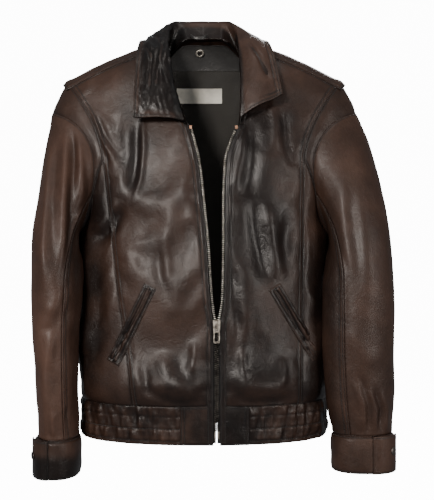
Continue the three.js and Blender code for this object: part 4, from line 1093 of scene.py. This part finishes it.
def gathered(p, n, u, v):
    """Close upright puckers between the rows of elastic stitching."""
    run = np.degrees(np.arctan2(p[..., 0], -p[..., 1])) * 2.6
    q = vec(run, 0 * run, p[..., 2])
    wave = 2.1 * noise(q, (6, 9, 30), 41) + 1.2 * noise(q, (3.2, 9, 14), 42)
    lines = sum(np.exp(-(((p[..., 2] - z) / 1.8) ** 2)) for z in (-561, -581, -600))
    roll = 1.0 * np.exp(-(((p[..., 2] + 577) / 22) ** 2))
    return 1.5 * wave * (1 - 0.4 * lines) - 0.6 * lines + roll


def waist_tone(p, n, u, v):
    return 0.46 + 0.08 * noise(p, 30, 71) + 0.10 * noise(p, (5, 5, 16), 72) + blot(p, 50, -575, 30, 60, -0.26)


def gathered_front(p, n, u, v):
    """The end under the waist tab lies deeper."""
    return gathered(p, n, u, v) - 6 * np.exp(-((u * 80) ** 2))


def elastic_band(u, v):
    return body(lerp(hem_angle(TAB_X[1]), 360 + hem_angle(TAB_X[-1]), u), lerp(HEM + 4, WAIST_TOP, v))


BANDS = [6.0, 25.0, 45.0]
TAB_X = {-1: -35, 1: 70}
for side in (-1, 1):
    word = NAMES[side]
    tab_edge = hem_angle(TAB_X[side])
    tab = inset(waist_strip(hem_angle(ZIP_X + side * PLACKET), tab_edge), 0.15)
    sheet_piece("waist_tab_" + word, tab, 0, LEATHER, step=3.5, tone=waist_tone, puff=1.0, welt=0.4,
                rows=rows(u0=2.2, v0=2.4, v1=2.4, u1=[2.2, 6.5]),
                relief=lambda p, n, u, v: 0.9 * noise(p, 16, 17))
    band = inset(waist_strip(tab_edge - side * 1.0, side * 90), 0.15)
    sheet_piece("waistband_" + word, band, 0, LEATHER, step=1.9, rows=rows(v0=BANDS), relief=gathered_front,
                tone=waist_tone, dense=(), shadow=0.5)
sheet_piece("waistband_back", inset(waist_strip(90, 270), 0.15), 0, LEATHER, step=3.0, size=(480, 60),
            rows=rows(v0=BANDS), relief=gathered, tone=waist_tone, dense=())
sheet_piece("waist_elastic", inset(elastic_band, 0.3), -LINING_DEPTH - 0.4, -2.2, step=8, size=(900, 55),
            puff=0, material=ELASTIC,
            relief=lambda p, n, u, v: -1.2 + 0.9 * noise(p, (9, 9, 40), 44))


# ---------------------------------------------------------------- sleeves

def sleeve_blend(made):
    """Writes the piece's placement into its points and works out how much each point near the shoulder seam
    would turn with the sleeve; that share is not applied.
    """
    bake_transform(made)
    co = points_mm(made.data)
    # Distance down the arm from the armhole seam. The turn's share grows fast at first.
    down = -co[:, 2] - 55 - 150 * np.clip((222 - np.abs(co[:, 0])) / 42, 0, 1)
    share = (1 - (1 - np.clip(down / 260, 0, 1)) ** 2) * ease((down + 6) / 36)
    return made


def armhole_band(side):
    def at(u, v):
        angle = (360 * u) % 360
        start, end = armhole(side, angle), sleeve(side, angle, 0 * angle)
        c = np.clip(1 - np.cos(np.radians(angle)), 0, 1)
        margin = ((0.8 + 0.3 * c**0.5) / np.linalg.norm(end - start, axis=-1))[..., None]
        return lerp(start, end, lerp(-margin, 1 + margin, v[..., None]))
    return at


SLEEVE_PARTS = (("top", (330, 560), rows(v0=2.4)), ("under", (160, 420), rows(v0=2.4, u0=DOUBLE)))
for side in (-1, 1):
    word, inside, relief = NAMES[side], sleeve_inside(side), sleeve_relief(side)
    for part, size, edge_rows in SLEEVE_PARTS:
        name = f"sleeve_{part}_{word}"
        made = sheet_piece(name, inset(PANELS[name][0], 0.1), 0, LEATHER, inside=inside, rows=edge_rows,
                           relief=relief, tone=sleeve_tone, body_name=None, welt=0.4, size=size)
        sleeve_blend(made)
    made = sheet_piece("armhole_band_" + word, armhole_band(side), 0, LEATHER, size=(620, 34), ring=True,
                       inside=lambda p, s=side: vec(s * 190 + 0 * p[..., 0], 0, -160), rows=rows(v0=2.4),
                       tone=body_tone, body_name=None, relief=lambda p, n, u, v: noise(p, 18, 19), puff=1.6)
    sleeve_blend(made)
    tube = inset(lambda u, v, s=side: sleeve(s, 360 * u, lerp(0.24, 1, v)), 0.6, 0)
    made = sheet_piece("sleeve_lining_" + word, tube, -9.0, -8.0, step=9, size=(320, 430), ring=True,
                       inside=inside, material=CLOTH, puff=0, body_name=None,
                       relief=lambda p, n, u, v: -0.7 + 0.6 * noise(p, (22, 22, 60), 24))
    sleeve_blend(made)


# ---------------------------------------------------------------- cuffs and snaps

def turned(name, outline, centre, axis, body_name, replaced, material, segments=48):
    """A lathe piece of (radius, height) pairs standing on centre along axis."""
    axis = Vector(axis).normalized()
    turn = Vector((0, 0, 1)).rotation_difference(axis).to_matrix()
    ring = np.linspace(0, 2 * math.pi, segments, endpoint=False)
    verts = np.array([(r * math.cos(a), r * math.sin(a), h) for r, h in outline for a in ring])
    verts = verts @ np.array(turn).T + np.array(centre)
    index = np.arange(len(verts)).reshape(len(outline), segments)
    around = np.roll(index, -1, 1)
    quads = np.stack([index[:-1], around[:-1], around[1:], index[1:]], -1).reshape(-1, 4)
    made = make(name, verts, quads, [material])
    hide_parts(replaced)
    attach(made, body_name)


def cuff_tone(side):
    def tone(p, n, u, v):
        low = ease((-p[..., 2] - (615 if side < 0 else 640)) / 20)
        return 0.64 + 0.08 * noise(p, 22, 81 + side) - (0.40 if side < 0 else 0.08) * low
    return tone


def cuff_relief(p, n, u, v):
    """The lower edge waves, and the top edge turns in over the sleeve's end."""
    flange = -13 * np.exp(-((v * CUFF_HEIGHT / 2.4) ** 2))
    return 0.8 * noise(p, 15, 83) + 1.6 * ease(v) * noise(p, (24, 24, 60), 84) + flange


def tab_relief(p, n, u, v):
    return 0.4 * noise(p, 12, 86) - 2.6 * ease((u - 0.72) / 0.26)


def box_middle(name):
    low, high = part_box(name)
    return np.array((low + high) / 2) * 1000


CAP_OUTLINE = [(0.2, 0), (6.4, 0), (6.5, 0.5), (6.3, 1.2), (5.4, 1.9), (4.9, 2.1), (4.6, 1.8), (4.2, 2.05),
               (2.5, 2.3), (0.05, 2.4)]
STUD_OUTLINE = [(0.2, 0), (4, 0), (4, 0.8), (3.4, 1.2), (2.2, 1.0), (0.05, 1.1)]
TAB_LOW = CUFF_LEATHER + TAB_GAP
for side in (-1, 1):
    word, inside = NAMES[side], cuff_inside(side)
    band = inset(lambda u, v, s=side: cuff(s, lerp(77, 430, u), v), 0.15)
    sheet_piece("cuff_band_" + word, band, 0, CUFF_LEATHER, inside=inside, step=3.2, size=(300, CUFF_HEIGHT),
                rows=rows(v0=2.4, v1=2.8, u0=2.4), relief=cuff_relief, tone=cuff_tone(side),
                body_name="sleeve_" + word)
    tab = inset(lambda u, v, s=side: cuff(s, lerp(14, 81, u), v), 0.2)
    sheet_piece("cuff_tab_" + word, tab, TAB_LOW, TAB_LOW + 2.2, inside=inside, step=3,
                size=(56, CUFF_HEIGHT), rows=rows(v0=2.4, v1=2.6, u0=2.6), relief=tab_relief,
                tone=cuff_tone(side), body_name="cuff_tab_" + word, puff=0.5)
    centre, stud = box_middle("snap_cap_" + word), box_middle("snap_stud_" + word)
    axis = unit(centre - stud)
    turned("snap_cap_shell_" + word, CAP_OUTLINE, centre - axis * 1.1, axis, "cuff_tab_" + word,
           "snap_cap_" + word, DARK_METAL)
    turned("snap_stud_shell_" + word, STUD_OUTLINE, stud + axis * 0.5, -axis, "sleeve_" + word,
           "snap_stud_" + word, DARK_METAL)


# ---------------------------------------------------------------- collar

def leaf_inside(p):
    return vec(p[..., 0] * 0.3, p[..., 1] * 0.3, p[..., 2] - 60)


def collar_shell(u):
    """Control points of each column: the neck seam, up the inner face, over the fold and out to the edge."""
    probes = [0.02, 0.25, 0.5, 0.75, 0.93]
    falls = [0.10, 0.2, 0.32, 0.45, 0.6, 0.75, 0.88, 1.0]
    column = u[:, :1]
    foot = both(lambda side, t: neck_seam(side, t, -3.0), column) - np.array([0, 0, 1.5])
    rise = [foot] + [stand(column, 0 * column + t) for t in probes]
    grid = np.stack([leaf(column, 0 * column + t)[:, 0] for t in np.linspace(0, 1, 41)], 1)
    n = grid_normals(grid, leaf_inside, False)
    out = grid + n * 5.0
    fall = [out[:, int(round(t * 40))][:, None] for t in falls]
    crown = (rise[-1] + fall[0]) / 2 + n[:, 2][:, None] * 3.2
    return np.stack([q[:, 0] for q in rise + [crown] + fall], 1)


def resample(points, w):
    """Points along each row of control points at shares w of its own length, on a smooth curve."""
    dense = np.linspace(0, 1, 121)
    placed = []
    for row in points:
        fine = through(row)(dense)
        run = np.concatenate([[0], np.cumsum(np.linalg.norm(np.diff(fine, axis=0), axis=1))])
        placed.append(np.stack([np.interp(w * run[-1], run, fine[:, k]) for k in range(3)], -1))
    return np.array(placed)


def collar_folds(p, u, w):
    """Creases over the worn leaf on the wearer's right, and one fold on the other."""
    t = np.abs(2 * u - 1)
    right = (u < 0.5) * ease((t - 0.25) / 0.2)
    left = (u >= 0.5) * ease((t - 0.25) / 0.2)
    along, down = t * 260, (w - 0.35) * 150
    fine = noise(vec(along + down * 0.5, down, 0 * w), (9, 22, 9), 51)
    fine = fine + 0.6 * noise(vec(along + down, down, 0 * w), (4.5, 14, 9), 52)
    web = noise(vec(along * 0.8 - down, along + down * 0.6, 0 * w), (11, 5.5, 9), 57)
    worn = (0.9 * fine + 1.3 * web) * right + 0.25 * fine * left
    lines = (stroke(along, down, [(120, 70), (160, 20), (210, 35), (250, 70)], 5, -2.6)
             + stroke(along, down, [(150, 85), (185, 50), (230, 60)], 4, -2.2)
             + stroke(along, down, [(95, 20), (150, 8), (200, 14)], 5, 1.8)) * right
    bend = stroke(along, down, [(150, 20), (180, 45), (225, 75)], 6, -3.0) * left
    rim = ease((w - 0.86) / 0.1)
    pucker = 0.9 * noise(vec(along, 0 * w, 0 * w), 8, 53) * rim
    return worn + lines + bend + pucker


def build_collar():
    us = np.concatenate([[0, 0.002, 0.006], np.linspace(0.012, 0.988, 150), [0.994, 0.998, 1]])
    ws = np.concatenate([[0, 0.006, 0.014], np.linspace(0.03, 0.90, 44),
                         [0.925, 0.94, 0.952, 0.965, 0.98, 0.992, 1]])
    u, w = np.meshgrid(us, ws, indexing="ij")
    p = resample(collar_shell(u), ws)
    n = grid_normals(p, lambda q: np.roll(q, 1, 0), False)
    # The normals point away from the leaf's own surface, which lies under the shell.
    column, row = len(us) // 4, len(ws) * 3 // 4
    below = leaf(np.full((1, 1), us[column]), np.full((1, 1), 0.6))[0, 0]
    if np.dot(n[column, row], p[column, row] - below) < 0:
        n = -n
    across, down = arc(p, 0), arc(p, 1)
    ends = np.minimum(across, across[-1] - across)
    rim = down[:, -1:] - down
    nearest = np.minimum(ends, rim)
    lift = collar_folds(p, u, w) * (0.5 + 0.5 * ease(nearest / 5)) + 0.8 * noise(p, 26, 54)
    shade = -0.1 * np.exp(-((nearest / 1.5) ** 2))
    for distance in COLLAR_ROWS:
        for d in (rim, ends):
            mark = np.exp(-(((d - distance) / 0.9) ** 2)) * (w > 0.4)
            lift, shade = lift - 0.9 * mark, shade - 0.26 * mark
    edge = 0.9 * np.exp(-((nearest / 0.8) ** 2))
    outer = p + n * (lift - edge)[..., None]
    inner = p + n * (lift - 1.4 + edge * 0.2)[..., None]
    index = np.arange(u.size).reshape(u.shape)
    face = cells(index)
    borders = (index[:, 0], index[::-1, -1], index[0, ::-1], index[-1])
    closing = [strip(line, line + u.size) for line in borders]
    quads = np.concatenate([face, face[:, ::-1] + u.size] + closing)
    if facing(outer, n, False):
        quads = quads[:, ::-1]
    t = np.abs(2 * u - 1)
    centre = ease((nearest - 7) / 8)
    # The wearer's right leaf is darker in its middle; below w = 0.36 the stand gets painted shade.
    dark = -0.50 * (u < 0.5) * ease((t - 0.1) / 0.3) * (0.2 + 0.8 * centre) - 0.34 * ease((0.36 - w) / 0.08)
    # The lift term paints shade into the creases and lightens the ridges.
    tones = 0.66 + dark + shade + 0.03 * np.clip(lift, -4, 4) + 0.07 * noise(p, 20, 55)
    verts = np.concatenate([outer.reshape(-1, 3), inner.reshape(-1, 3)])
    lines = [seam_line(outer, n, rim, "v1", distance) for distance in COLLAR_ROWS]
    # The rows beside both ends stop where the leaf folds up out of sight.
    for edge, far in (("u0", across), ("u1", across[-1] - across)):
        lines.append(seam_line(outer[:, 20:], n[:, 20:], far[:, 20:], edge, COLLAR_ROWS[0]))
    made = stitched("collar_shell", verts, quads, tones, lines, PITCH, [SKIN, THREAD])
    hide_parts("collar_upper", "collar_stand")
    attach(made, "jacket")


build_collar()
sheet_piece("under_collar", lambda u, v: leaf(u, lerp(0.04, 0.985, v)), 1.8, 3.0,
            inside=leaf_inside, step=5, size=(560, 70), puff=0, tone=0.4,
            relief=lambda p, n, u, v: 0.3 * noise(p, 20, 56))


# ---------------------------------------------------------------- inside: facings, lining, label, loop

def armhole_side(z):
    """Where the lining ends beside the armhole seam."""
    return armhole_x_at(np.maximum(z, CORNER_Z)) - 5


def lining_front(side):
    def inner_x(z):
        return np.maximum(side * front_edge(side, z) + FACING_WIDTH, NECK_HALF + 3)

    def at(u, v):
        top = top_height(inner_x, armhole_side, strap_edge, u)
        turn = np.clip((v - 0.8) / 0.2, 0, 1)
        over = arch(side * lerp(inner_x(top), armhole_side(top), u),
                    lerp(STRAP_ANGLE, 168 - STRAP_ANGLE, turn))
        z = lerp(WAIST_TOP, top, np.minimum(v / 0.8, 1))
        low = across_to_seam(side, inner_x(z), armhole_side(z), u, z, False)
        return np.where((v > 0.8)[..., None], over, low)
    return at


def across_to_seam(side, inner, outer, u, z, back):
    upper = np.abs(angle_of(side * lerp(inner, outer, u), z, back))
    start = np.abs(angle_of(side * inner, z, back))
    weight = np.clip((CORNER_Z - z) / (CORNER_Z - ARMPIT), 0, 1)
    return body(side * lerp(upper, lerp(start, 90, u), weight), z)


def lining_back(u, v):
    side, share = np.where(u < 0.5, -1, 1), np.abs(2 * u - 1)
    top = np.minimum(strap_edge(share * armhole_side(0 * u - 2)) - 8, -2)
    z = lerp(WAIST_TOP, top, v)
    return across_to_seam(side, 0 * u, armhole_side(z), share, z, True)


def hanging(p, n, u, v):
    return -0.4 + 1.3 * noise(p, (26, 26, 120), 91) + 0.5 * noise(p, (9, 9, 40), 92)


def front_facing(side):
    def at(u, v):
        z = lerp(WAIST_TOP, -30, v)
        return body_at(front_edge(side, z) + side * (1.5 + 55 * u), z)
    return at


def neck_patch(u, v):
    x = lerp(-60, 60, u)
    return body_at(x, lerp(-9, neck_top(np.abs(x)) - 3, v), True)


LINING_BACK = -LINING_DEPTH - LINING
BAG_X, BAG_DROP, BAG_WIDTH, BAG_HEIGHT = {-1: -88, 1: 98}, 20, 105, 120
LABEL_WIDTH, LABEL_HEIGHT, LABEL_MIDDLE = 77, 25, -46


def label_patch(u, v):
    return body_at(NECK_MIDDLE + LABEL_WIDTH * (u - 0.5), LABEL_MIDDLE + LABEL_HEIGHT * (v - 0.5), True)


for side in (-1, 1):
    word = NAMES[side]
    sheet_piece("lining_front_" + word, inset(lining_front(side), 0.5), LINING_BACK, -LINING_DEPTH, step=8,
                size=(190, 620), material=CLOTH, relief=hanging, puff=0)
    sheet_piece("front_facing_" + word, inset(front_facing(side), 0.4), -5.8, -4.6, step=6, size=(55, 520),
                material=FACING, puff=0, relief=lambda p, n, u, v: 0.3 * noise(p, 18, 93))
    bag = (lambda u, v, x=BAG_X[side], z=POCKETS[side][1] - BAG_DROP:
           body_at(x + BAG_WIDTH * (u - 0.5), z + BAG_HEIGHT * (v - 0.5)))
    sheet_piece("pocket_bag_" + word, bag, -4.2, -3.1, step=8, material=CLOTH, puff=0,
                relief=lambda p, n, u, v: -0.1 + 0.25 * noise(p, 20, 94))
sheet_piece("lining_back", inset(lining_back, 0.5), LINING_BACK, -LINING_DEPTH, step=6, size=(420, 540),
            material=CLOTH, relief=hanging, puff=0)
sheet_piece("neck_facing", inset(neck_patch, 0.3), -5.8, -4.4, step=3, size=(120, 40), material=NECK,
            rows=rows(v0=3.0), puff=0.3, tone=0.55, relief=lambda p, n, u, v: 0.5 * noise(p, 14, 95))
sheet_piece("label", label_patch, LINING_BACK - 2.0, LINING_BACK - 1.4, step=3,
            size=(LABEL_WIDTH, LABEL_HEIGHT), material=LABEL, puff=0, pitch=2.6, dense=(),
            rows=rows(v0=1.5, v1=1.5, u0=1.5, u1=1.5),
            relief=lambda p, n, u, v: -0.3 + 0.7 * noise(p, (16, 16, 12), 96))
bpy.data.objects["label_skin"].material_slots[1].material = LABEL


def stand_inside(x, z, offset):
    """A place behind the back's surface and the way into the jacket there."""
    def p(a, b):
        return body_at(np.array(float(a)), np.array(float(b)), True)
    n = unit(np.cross(p(x + 0.5, z) - p(x - 0.5, z), p(x, z + 0.5) - p(x, z - 0.5)))
    n = -n if n[1] > 0 else n
    return p(x, z) + n * offset, n


spot, out = stand_inside(NECK_MIDDLE, 27, 6.9)
RING_OUTLINE = [(3.9, 0), (7, 0), (7.1, 0.5), (6.6, 1.3), (5.6, 1.75), (4.6, 1.5), (4, 0.9), (3.9, 0)]
SOCKET_OUTLINE = [(0.05, 0.0), (3.75, 0), (3.75, 0.9), (3.0, 1.2), (2.4, 0.7), (1.0, 0.5), (0.05, 0.45)]
turned("lining_snap_ring_shell", RING_OUTLINE, spot, out, "jacket", "lining_snap_ring", RING)
turned("lining_snap_socket_shell", SOCKET_OUTLINE, spot, out, "jacket", "lining_snap_socket", DARK_METAL)


def hang_loop():
    seat = (NECK_MIDDLE, 10.6, 46.0)
    path = through([(seat[0] + a, seat[1] + b, seat[2] + c) for a, b, c in
                    ((-13, 0, 0), (-11, -6, -3), (-6.5, -10, -6), (6.5, -10, -6), (11, -6, -3), (13, 0, 0))])
    t = np.linspace(0, 1, 61)
    line = path(t)
    along = unit(np.gradient(line, axis=0))
    out = unit(np.cross(along, [0, 0, 1.0]))
    rise = unit(np.cross(out, along))
    ring = np.linspace(0, 2 * math.pi, 16, endpoint=False)
    twist = 0.12 * noise(vec(t * 40, 0 * t, 0 * t), 5, 97)
    verts = (line[:, None] + out[:, None] * (0.85 * spow(np.cos(ring), 0.6) * (1 + twist[:, None]))[..., None]
             + rise[:, None] * (2.5 * spow(np.sin(ring), 0.7) * np.ones((61, 1)))[..., None])
    index = np.arange(61 * 16).reshape(61, 16)
    around = np.roll(index, -1, 1)
    quads = np.stack([index[:-1], index[1:], around[1:], around[:-1]], -1).reshape(-1, 4)
    made = make("hang_loop_strap", verts.reshape(-1, 3), quads, [NECK], tone=np.full(61 * 16, 0.4))
    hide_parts("hang_loop")
    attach(made, "hang_loop")


hang_loop()


# ---------------------------------------------------------------- pockets

for side in (-1, 1):
    x, z, lean = POCKETS[side]
    lean = math.radians(lean)
    ax, az = side * math.sin(lean), -math.cos(lean)

    def on(u, v, x=x, z=z, ax=ax, az=az):
        a, b = WELT_LENGTH * (v - 0.5), WELT_WIDTH * (u - 0.5)
        return body_at(x + ax * a - az * b, z + az * a + ax * b)

    def frame_parts(u, v):
        """How far a place is from the frame's rim in mm, and how much of it is the slit."""
        around = np.minimum(np.minimum(u, 1 - u) * WELT_WIDTH, np.minimum(v, 1 - v) * WELT_LENGTH)
        wander = 0.44 + 0.05 * np.sin(7 * v)
        return around, np.exp(-(((u - wander) / 0.07) ** 2)) * ease(v / 0.08) * ease((1 - v) / 0.08)

    def mouth(p, n, u, v):
        """Piping round the frame, and two soft lips on each side of the slit, crumpled near the lower end."""
        around, slit = frame_parts(u, v)
        piping = 2.0 * np.exp(-(((around - 1.6) / 1.2) ** 2)) - 1.8 * np.exp(-(((around - 4.2) / 1.1) ** 2))
        lips = np.exp(-(((u - 0.66) / 0.16) ** 2)) + 0.5 * np.exp(-(((u - 0.27) / 0.1) ** 2))
        crumple = (0.6 + 2.2 * ease((v - 0.4) / 0.4)) * noise(p, (7, 7, 9), 33) * ease(around / 5)
        return piping - 3.6 * slit + 2.0 * lips * ease(around / 6) + crumple + 0.6 * noise(p, 24, 36)

    def welt_tone(p, n, u, v):
        around, slit = frame_parts(u, v)
        # Painted shade in the slit and in the groove inside the piping.
        return 0.5 - 0.5 * slit - 0.32 * np.exp(-(((around - 4.2) / 1.4) ** 2)) + 0.10 * noise(p, 14, 34)

    sheet_piece("pocket_welt_" + NAMES[side], on, LEATHER + 0.95, 2 * LEATHER + 0.95, step=1.3,
                size=(WELT_WIDTH, WELT_LENGTH), relief=mouth, puff=0.4, tone=welt_tone, dense=())


# ---------------------------------------------------------------- zip

def zip_teeth(side):
    start = HEM + CHAIN_START + (TOOTH_PITCH / 2 if side > 0 else 0)
    places = np.arange(start, ZIP_TOP - CHAIN_END, TOOTH_PITCH)
    line = body_at(chains[side](places), places)
    ahead = body_at(chains[side](places + 1), places + 1) - line
    up = np.cross(ahead, np.array([[side, 0, 0.0]]))
    up = np.where((up[:, 1] > 0)[:, None], -up, up)
    across = unit(np.cross(up, ahead))
    across = np.where((across[:, 0] * side > 0)[:, None], -across, across)
    tooth_v, tooth_q = beads(line - across * 1.75 + unit(up) * 0.1, across, up, (2.15, 0.78, 1.2))
    nose_v, nose_q = beads(line - across * 0.2, across, up, (0.8, 0.66, 0.8))
    # Teeth below the slider take the darker copy, painted shade between the closed plackets.
    closed = np.repeat(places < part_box("zip_slider")[0][2] * 1000, len(BEAD_QUADS)).astype(int)
    made = make("zip_teeth_" + NAMES[side], np.concatenate([tooth_v, nose_v]),
                np.concatenate([tooth_q, nose_q + len(tooth_v)]), [TEETH, SHADED_TEETH], np.tile(closed, 2))
    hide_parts("zip_chain_" + NAMES[side])
    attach(made, "jacket")


def beside_zip(side, near, far, low, high):
    """A strip that follows one zip chain, from near to far beside its middle."""
    def at(u, v):
        z = lerp(low, high, v)
        return body_at(chains[side](z) + side * lerp(near, far, u), z)
    return at


for side in (-1, 1):
    word = NAMES[side]
    zip_teeth(side)
    sheet_piece("placket_edge_" + word, beside_zip(side, 4.9, 14.5, HEM + 0.5, ZIP_TOP + 6), LEATHER * 0.6,
                LEATHER + 0.9, step=1.6, size=(9.6, 480), rows=rows(u0=2.0, u1=2.0), puff=0.7, welt=0.2,
                nodes=["front_" + word], dense=(), tone=lambda p, n, u, v: body_tone(p, n, u, v) - 0.12,
                relief=lambda p, n, u, v: 0.5 * noise(p, (9, 9, 16), 39) + 0.35 * body_relief(p, n, u, v))
    sheet_piece("zip_tape_" + word, beside_zip(side, 0.9, 15, HEM + 3, ZIP_TOP - 3), -2.0, -1.0, step=3,
                size=(14, 490), material=TAPE, puff=0, tone=0.1,
                relief=lambda p, n, u, v: 0.15 * noise(p, 12, 98))

# The CAD pieces that still show: the zip's slider and pull, and its stops.
for name, node_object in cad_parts.items():
    if node_object.hide_render:
        continue
    finish = COPPER if name.startswith("zip_stop") else SILVER
    node_object.data.materials.clear()
    node_object.data.materials.append(finish)
    bevel = node_object.modifiers.new("soft_edges", "BEVEL")
    bevel.width, bevel.segments = 0.0005, 3
    bevel.limit_method, bevel.angle_limit = "ANGLE", math.radians(30)


# ---------------------------------------------------------------- stage, light and camera

def plain(name, colour, rough):
    material, nodes, links, shader = tree(name)
    cloud = node(nodes, "ShaderNodeTexNoise", Scale=3.0, Detail=4.0)
    place_on(nodes, links, (cloud,))
    shaded = tuple(c * 0.97 for c in colour)
    colour_by(nodes, links, shader, cloud.outputs["Fac"], [(0.3, shaded), (0.7, colour)])
    shader.inputs["Roughness"].default_value = rough
    return material


def backdrop():
    """A pale studio sweep: flat floor that curves up into the wall behind."""
    turn = np.linspace(0, math.pi / 2, 25)[1:]
    curve = [(2.2 + 2.4 * math.sin(a), 1.35 - 2.4 * math.cos(a)) for a in turn]
    bend = [(-7, -1.05), (2.2, -1.05)] + curve + [(4.6, 9)]
    xs = np.linspace(-9, 9, 13)
    verts = np.array([(x, y, z) for y, z in bend for x in xs]) * 1000
    index = np.arange(len(verts)).reshape(len(bend), len(xs))
    quads = np.stack([index[:-1, :-1], index[:-1, 1:], index[1:, 1:], index[1:, :-1]], -1).reshape(-1, 4)
    material = plain("floor_pale", (0.92, 0.92, 0.915), 0.8)
    shader = material.node_tree.nodes["Principled BSDF"]
    shader.inputs["Emission Color"].default_value = (1, 1, 1, 1)
    shader.inputs["Emission Strength"].default_value = 13
    made = make("pale_floor", verts, quads, [material])
    made.visible_glossy = made.visible_diffuse = False


backdrop()

world = bpy.data.worlds.new("studio")
bpy.context.scene.world = world
world.use_nodes = True
nodes, links = world.node_tree.nodes, world.node_tree.links
sky = nodes["Background"]
sky.inputs["Color"].default_value = (0.95, 0.97, 1, 1)
sky.inputs["Strength"].default_value = 0.22
shown = node(nodes, "ShaderNodeBackground", Color=(1, 1, 1, 1), Strength=12)
path = nodes.new("ShaderNodeLightPath")
mix = nodes.new("ShaderNodeMixShader")
links.new(path.outputs["Is Camera Ray"], mix.inputs[0])
links.new(sky.outputs[0], mix.inputs[1])
links.new(shown.outputs[0], mix.inputs[2])
links.new(mix.outputs[0], nodes["World Output"].inputs["Surface"])


def softbox(name, place, target, size, power, colour=(1, 1, 1)):
    light = bpy.data.lights.new(name, "AREA")
    light.shape = "RECTANGLE"
    light.size, light.size_y = size
    light.energy, light.color = power, colour
    made = bpy.data.objects.new(name, light)
    made.location = place
    made.rotation_euler = (Vector(target) - Vector(place)).to_track_quat("-Z", "Y").to_euler()
    bpy.context.scene.collection.objects.link(made)


WARM = (1, 0.94, 0.88)
softbox("key", (-1.0, -2.4, 0.45), (0, 0, -0.38), (0.55, 0.45), 60, WARM)
softbox("fill", (1.7, -1.9, -0.1), (0, 0, -0.42), (0.6, 1.1), 24, WARM)
softbox("top", (0.1, -0.7, 1.8), (0, 0, -0.2), (1.0, 0.6), 10, WARM)
softbox("rim", (0.5, 2.2, 1.0), (0, 0, -0.3), (1.6, 1.0), 75)

camera = bpy.data.objects.new("camera", bpy.data.cameras.new("camera"))
camera.location = (0.021, -1.300, -0.308)
camera.rotation_euler = (math.radians(90), 0, 0)
camera.data.lens = 57.1
bpy.context.scene.collection.objects.link(camera)
bpy.context.scene.camera = camera
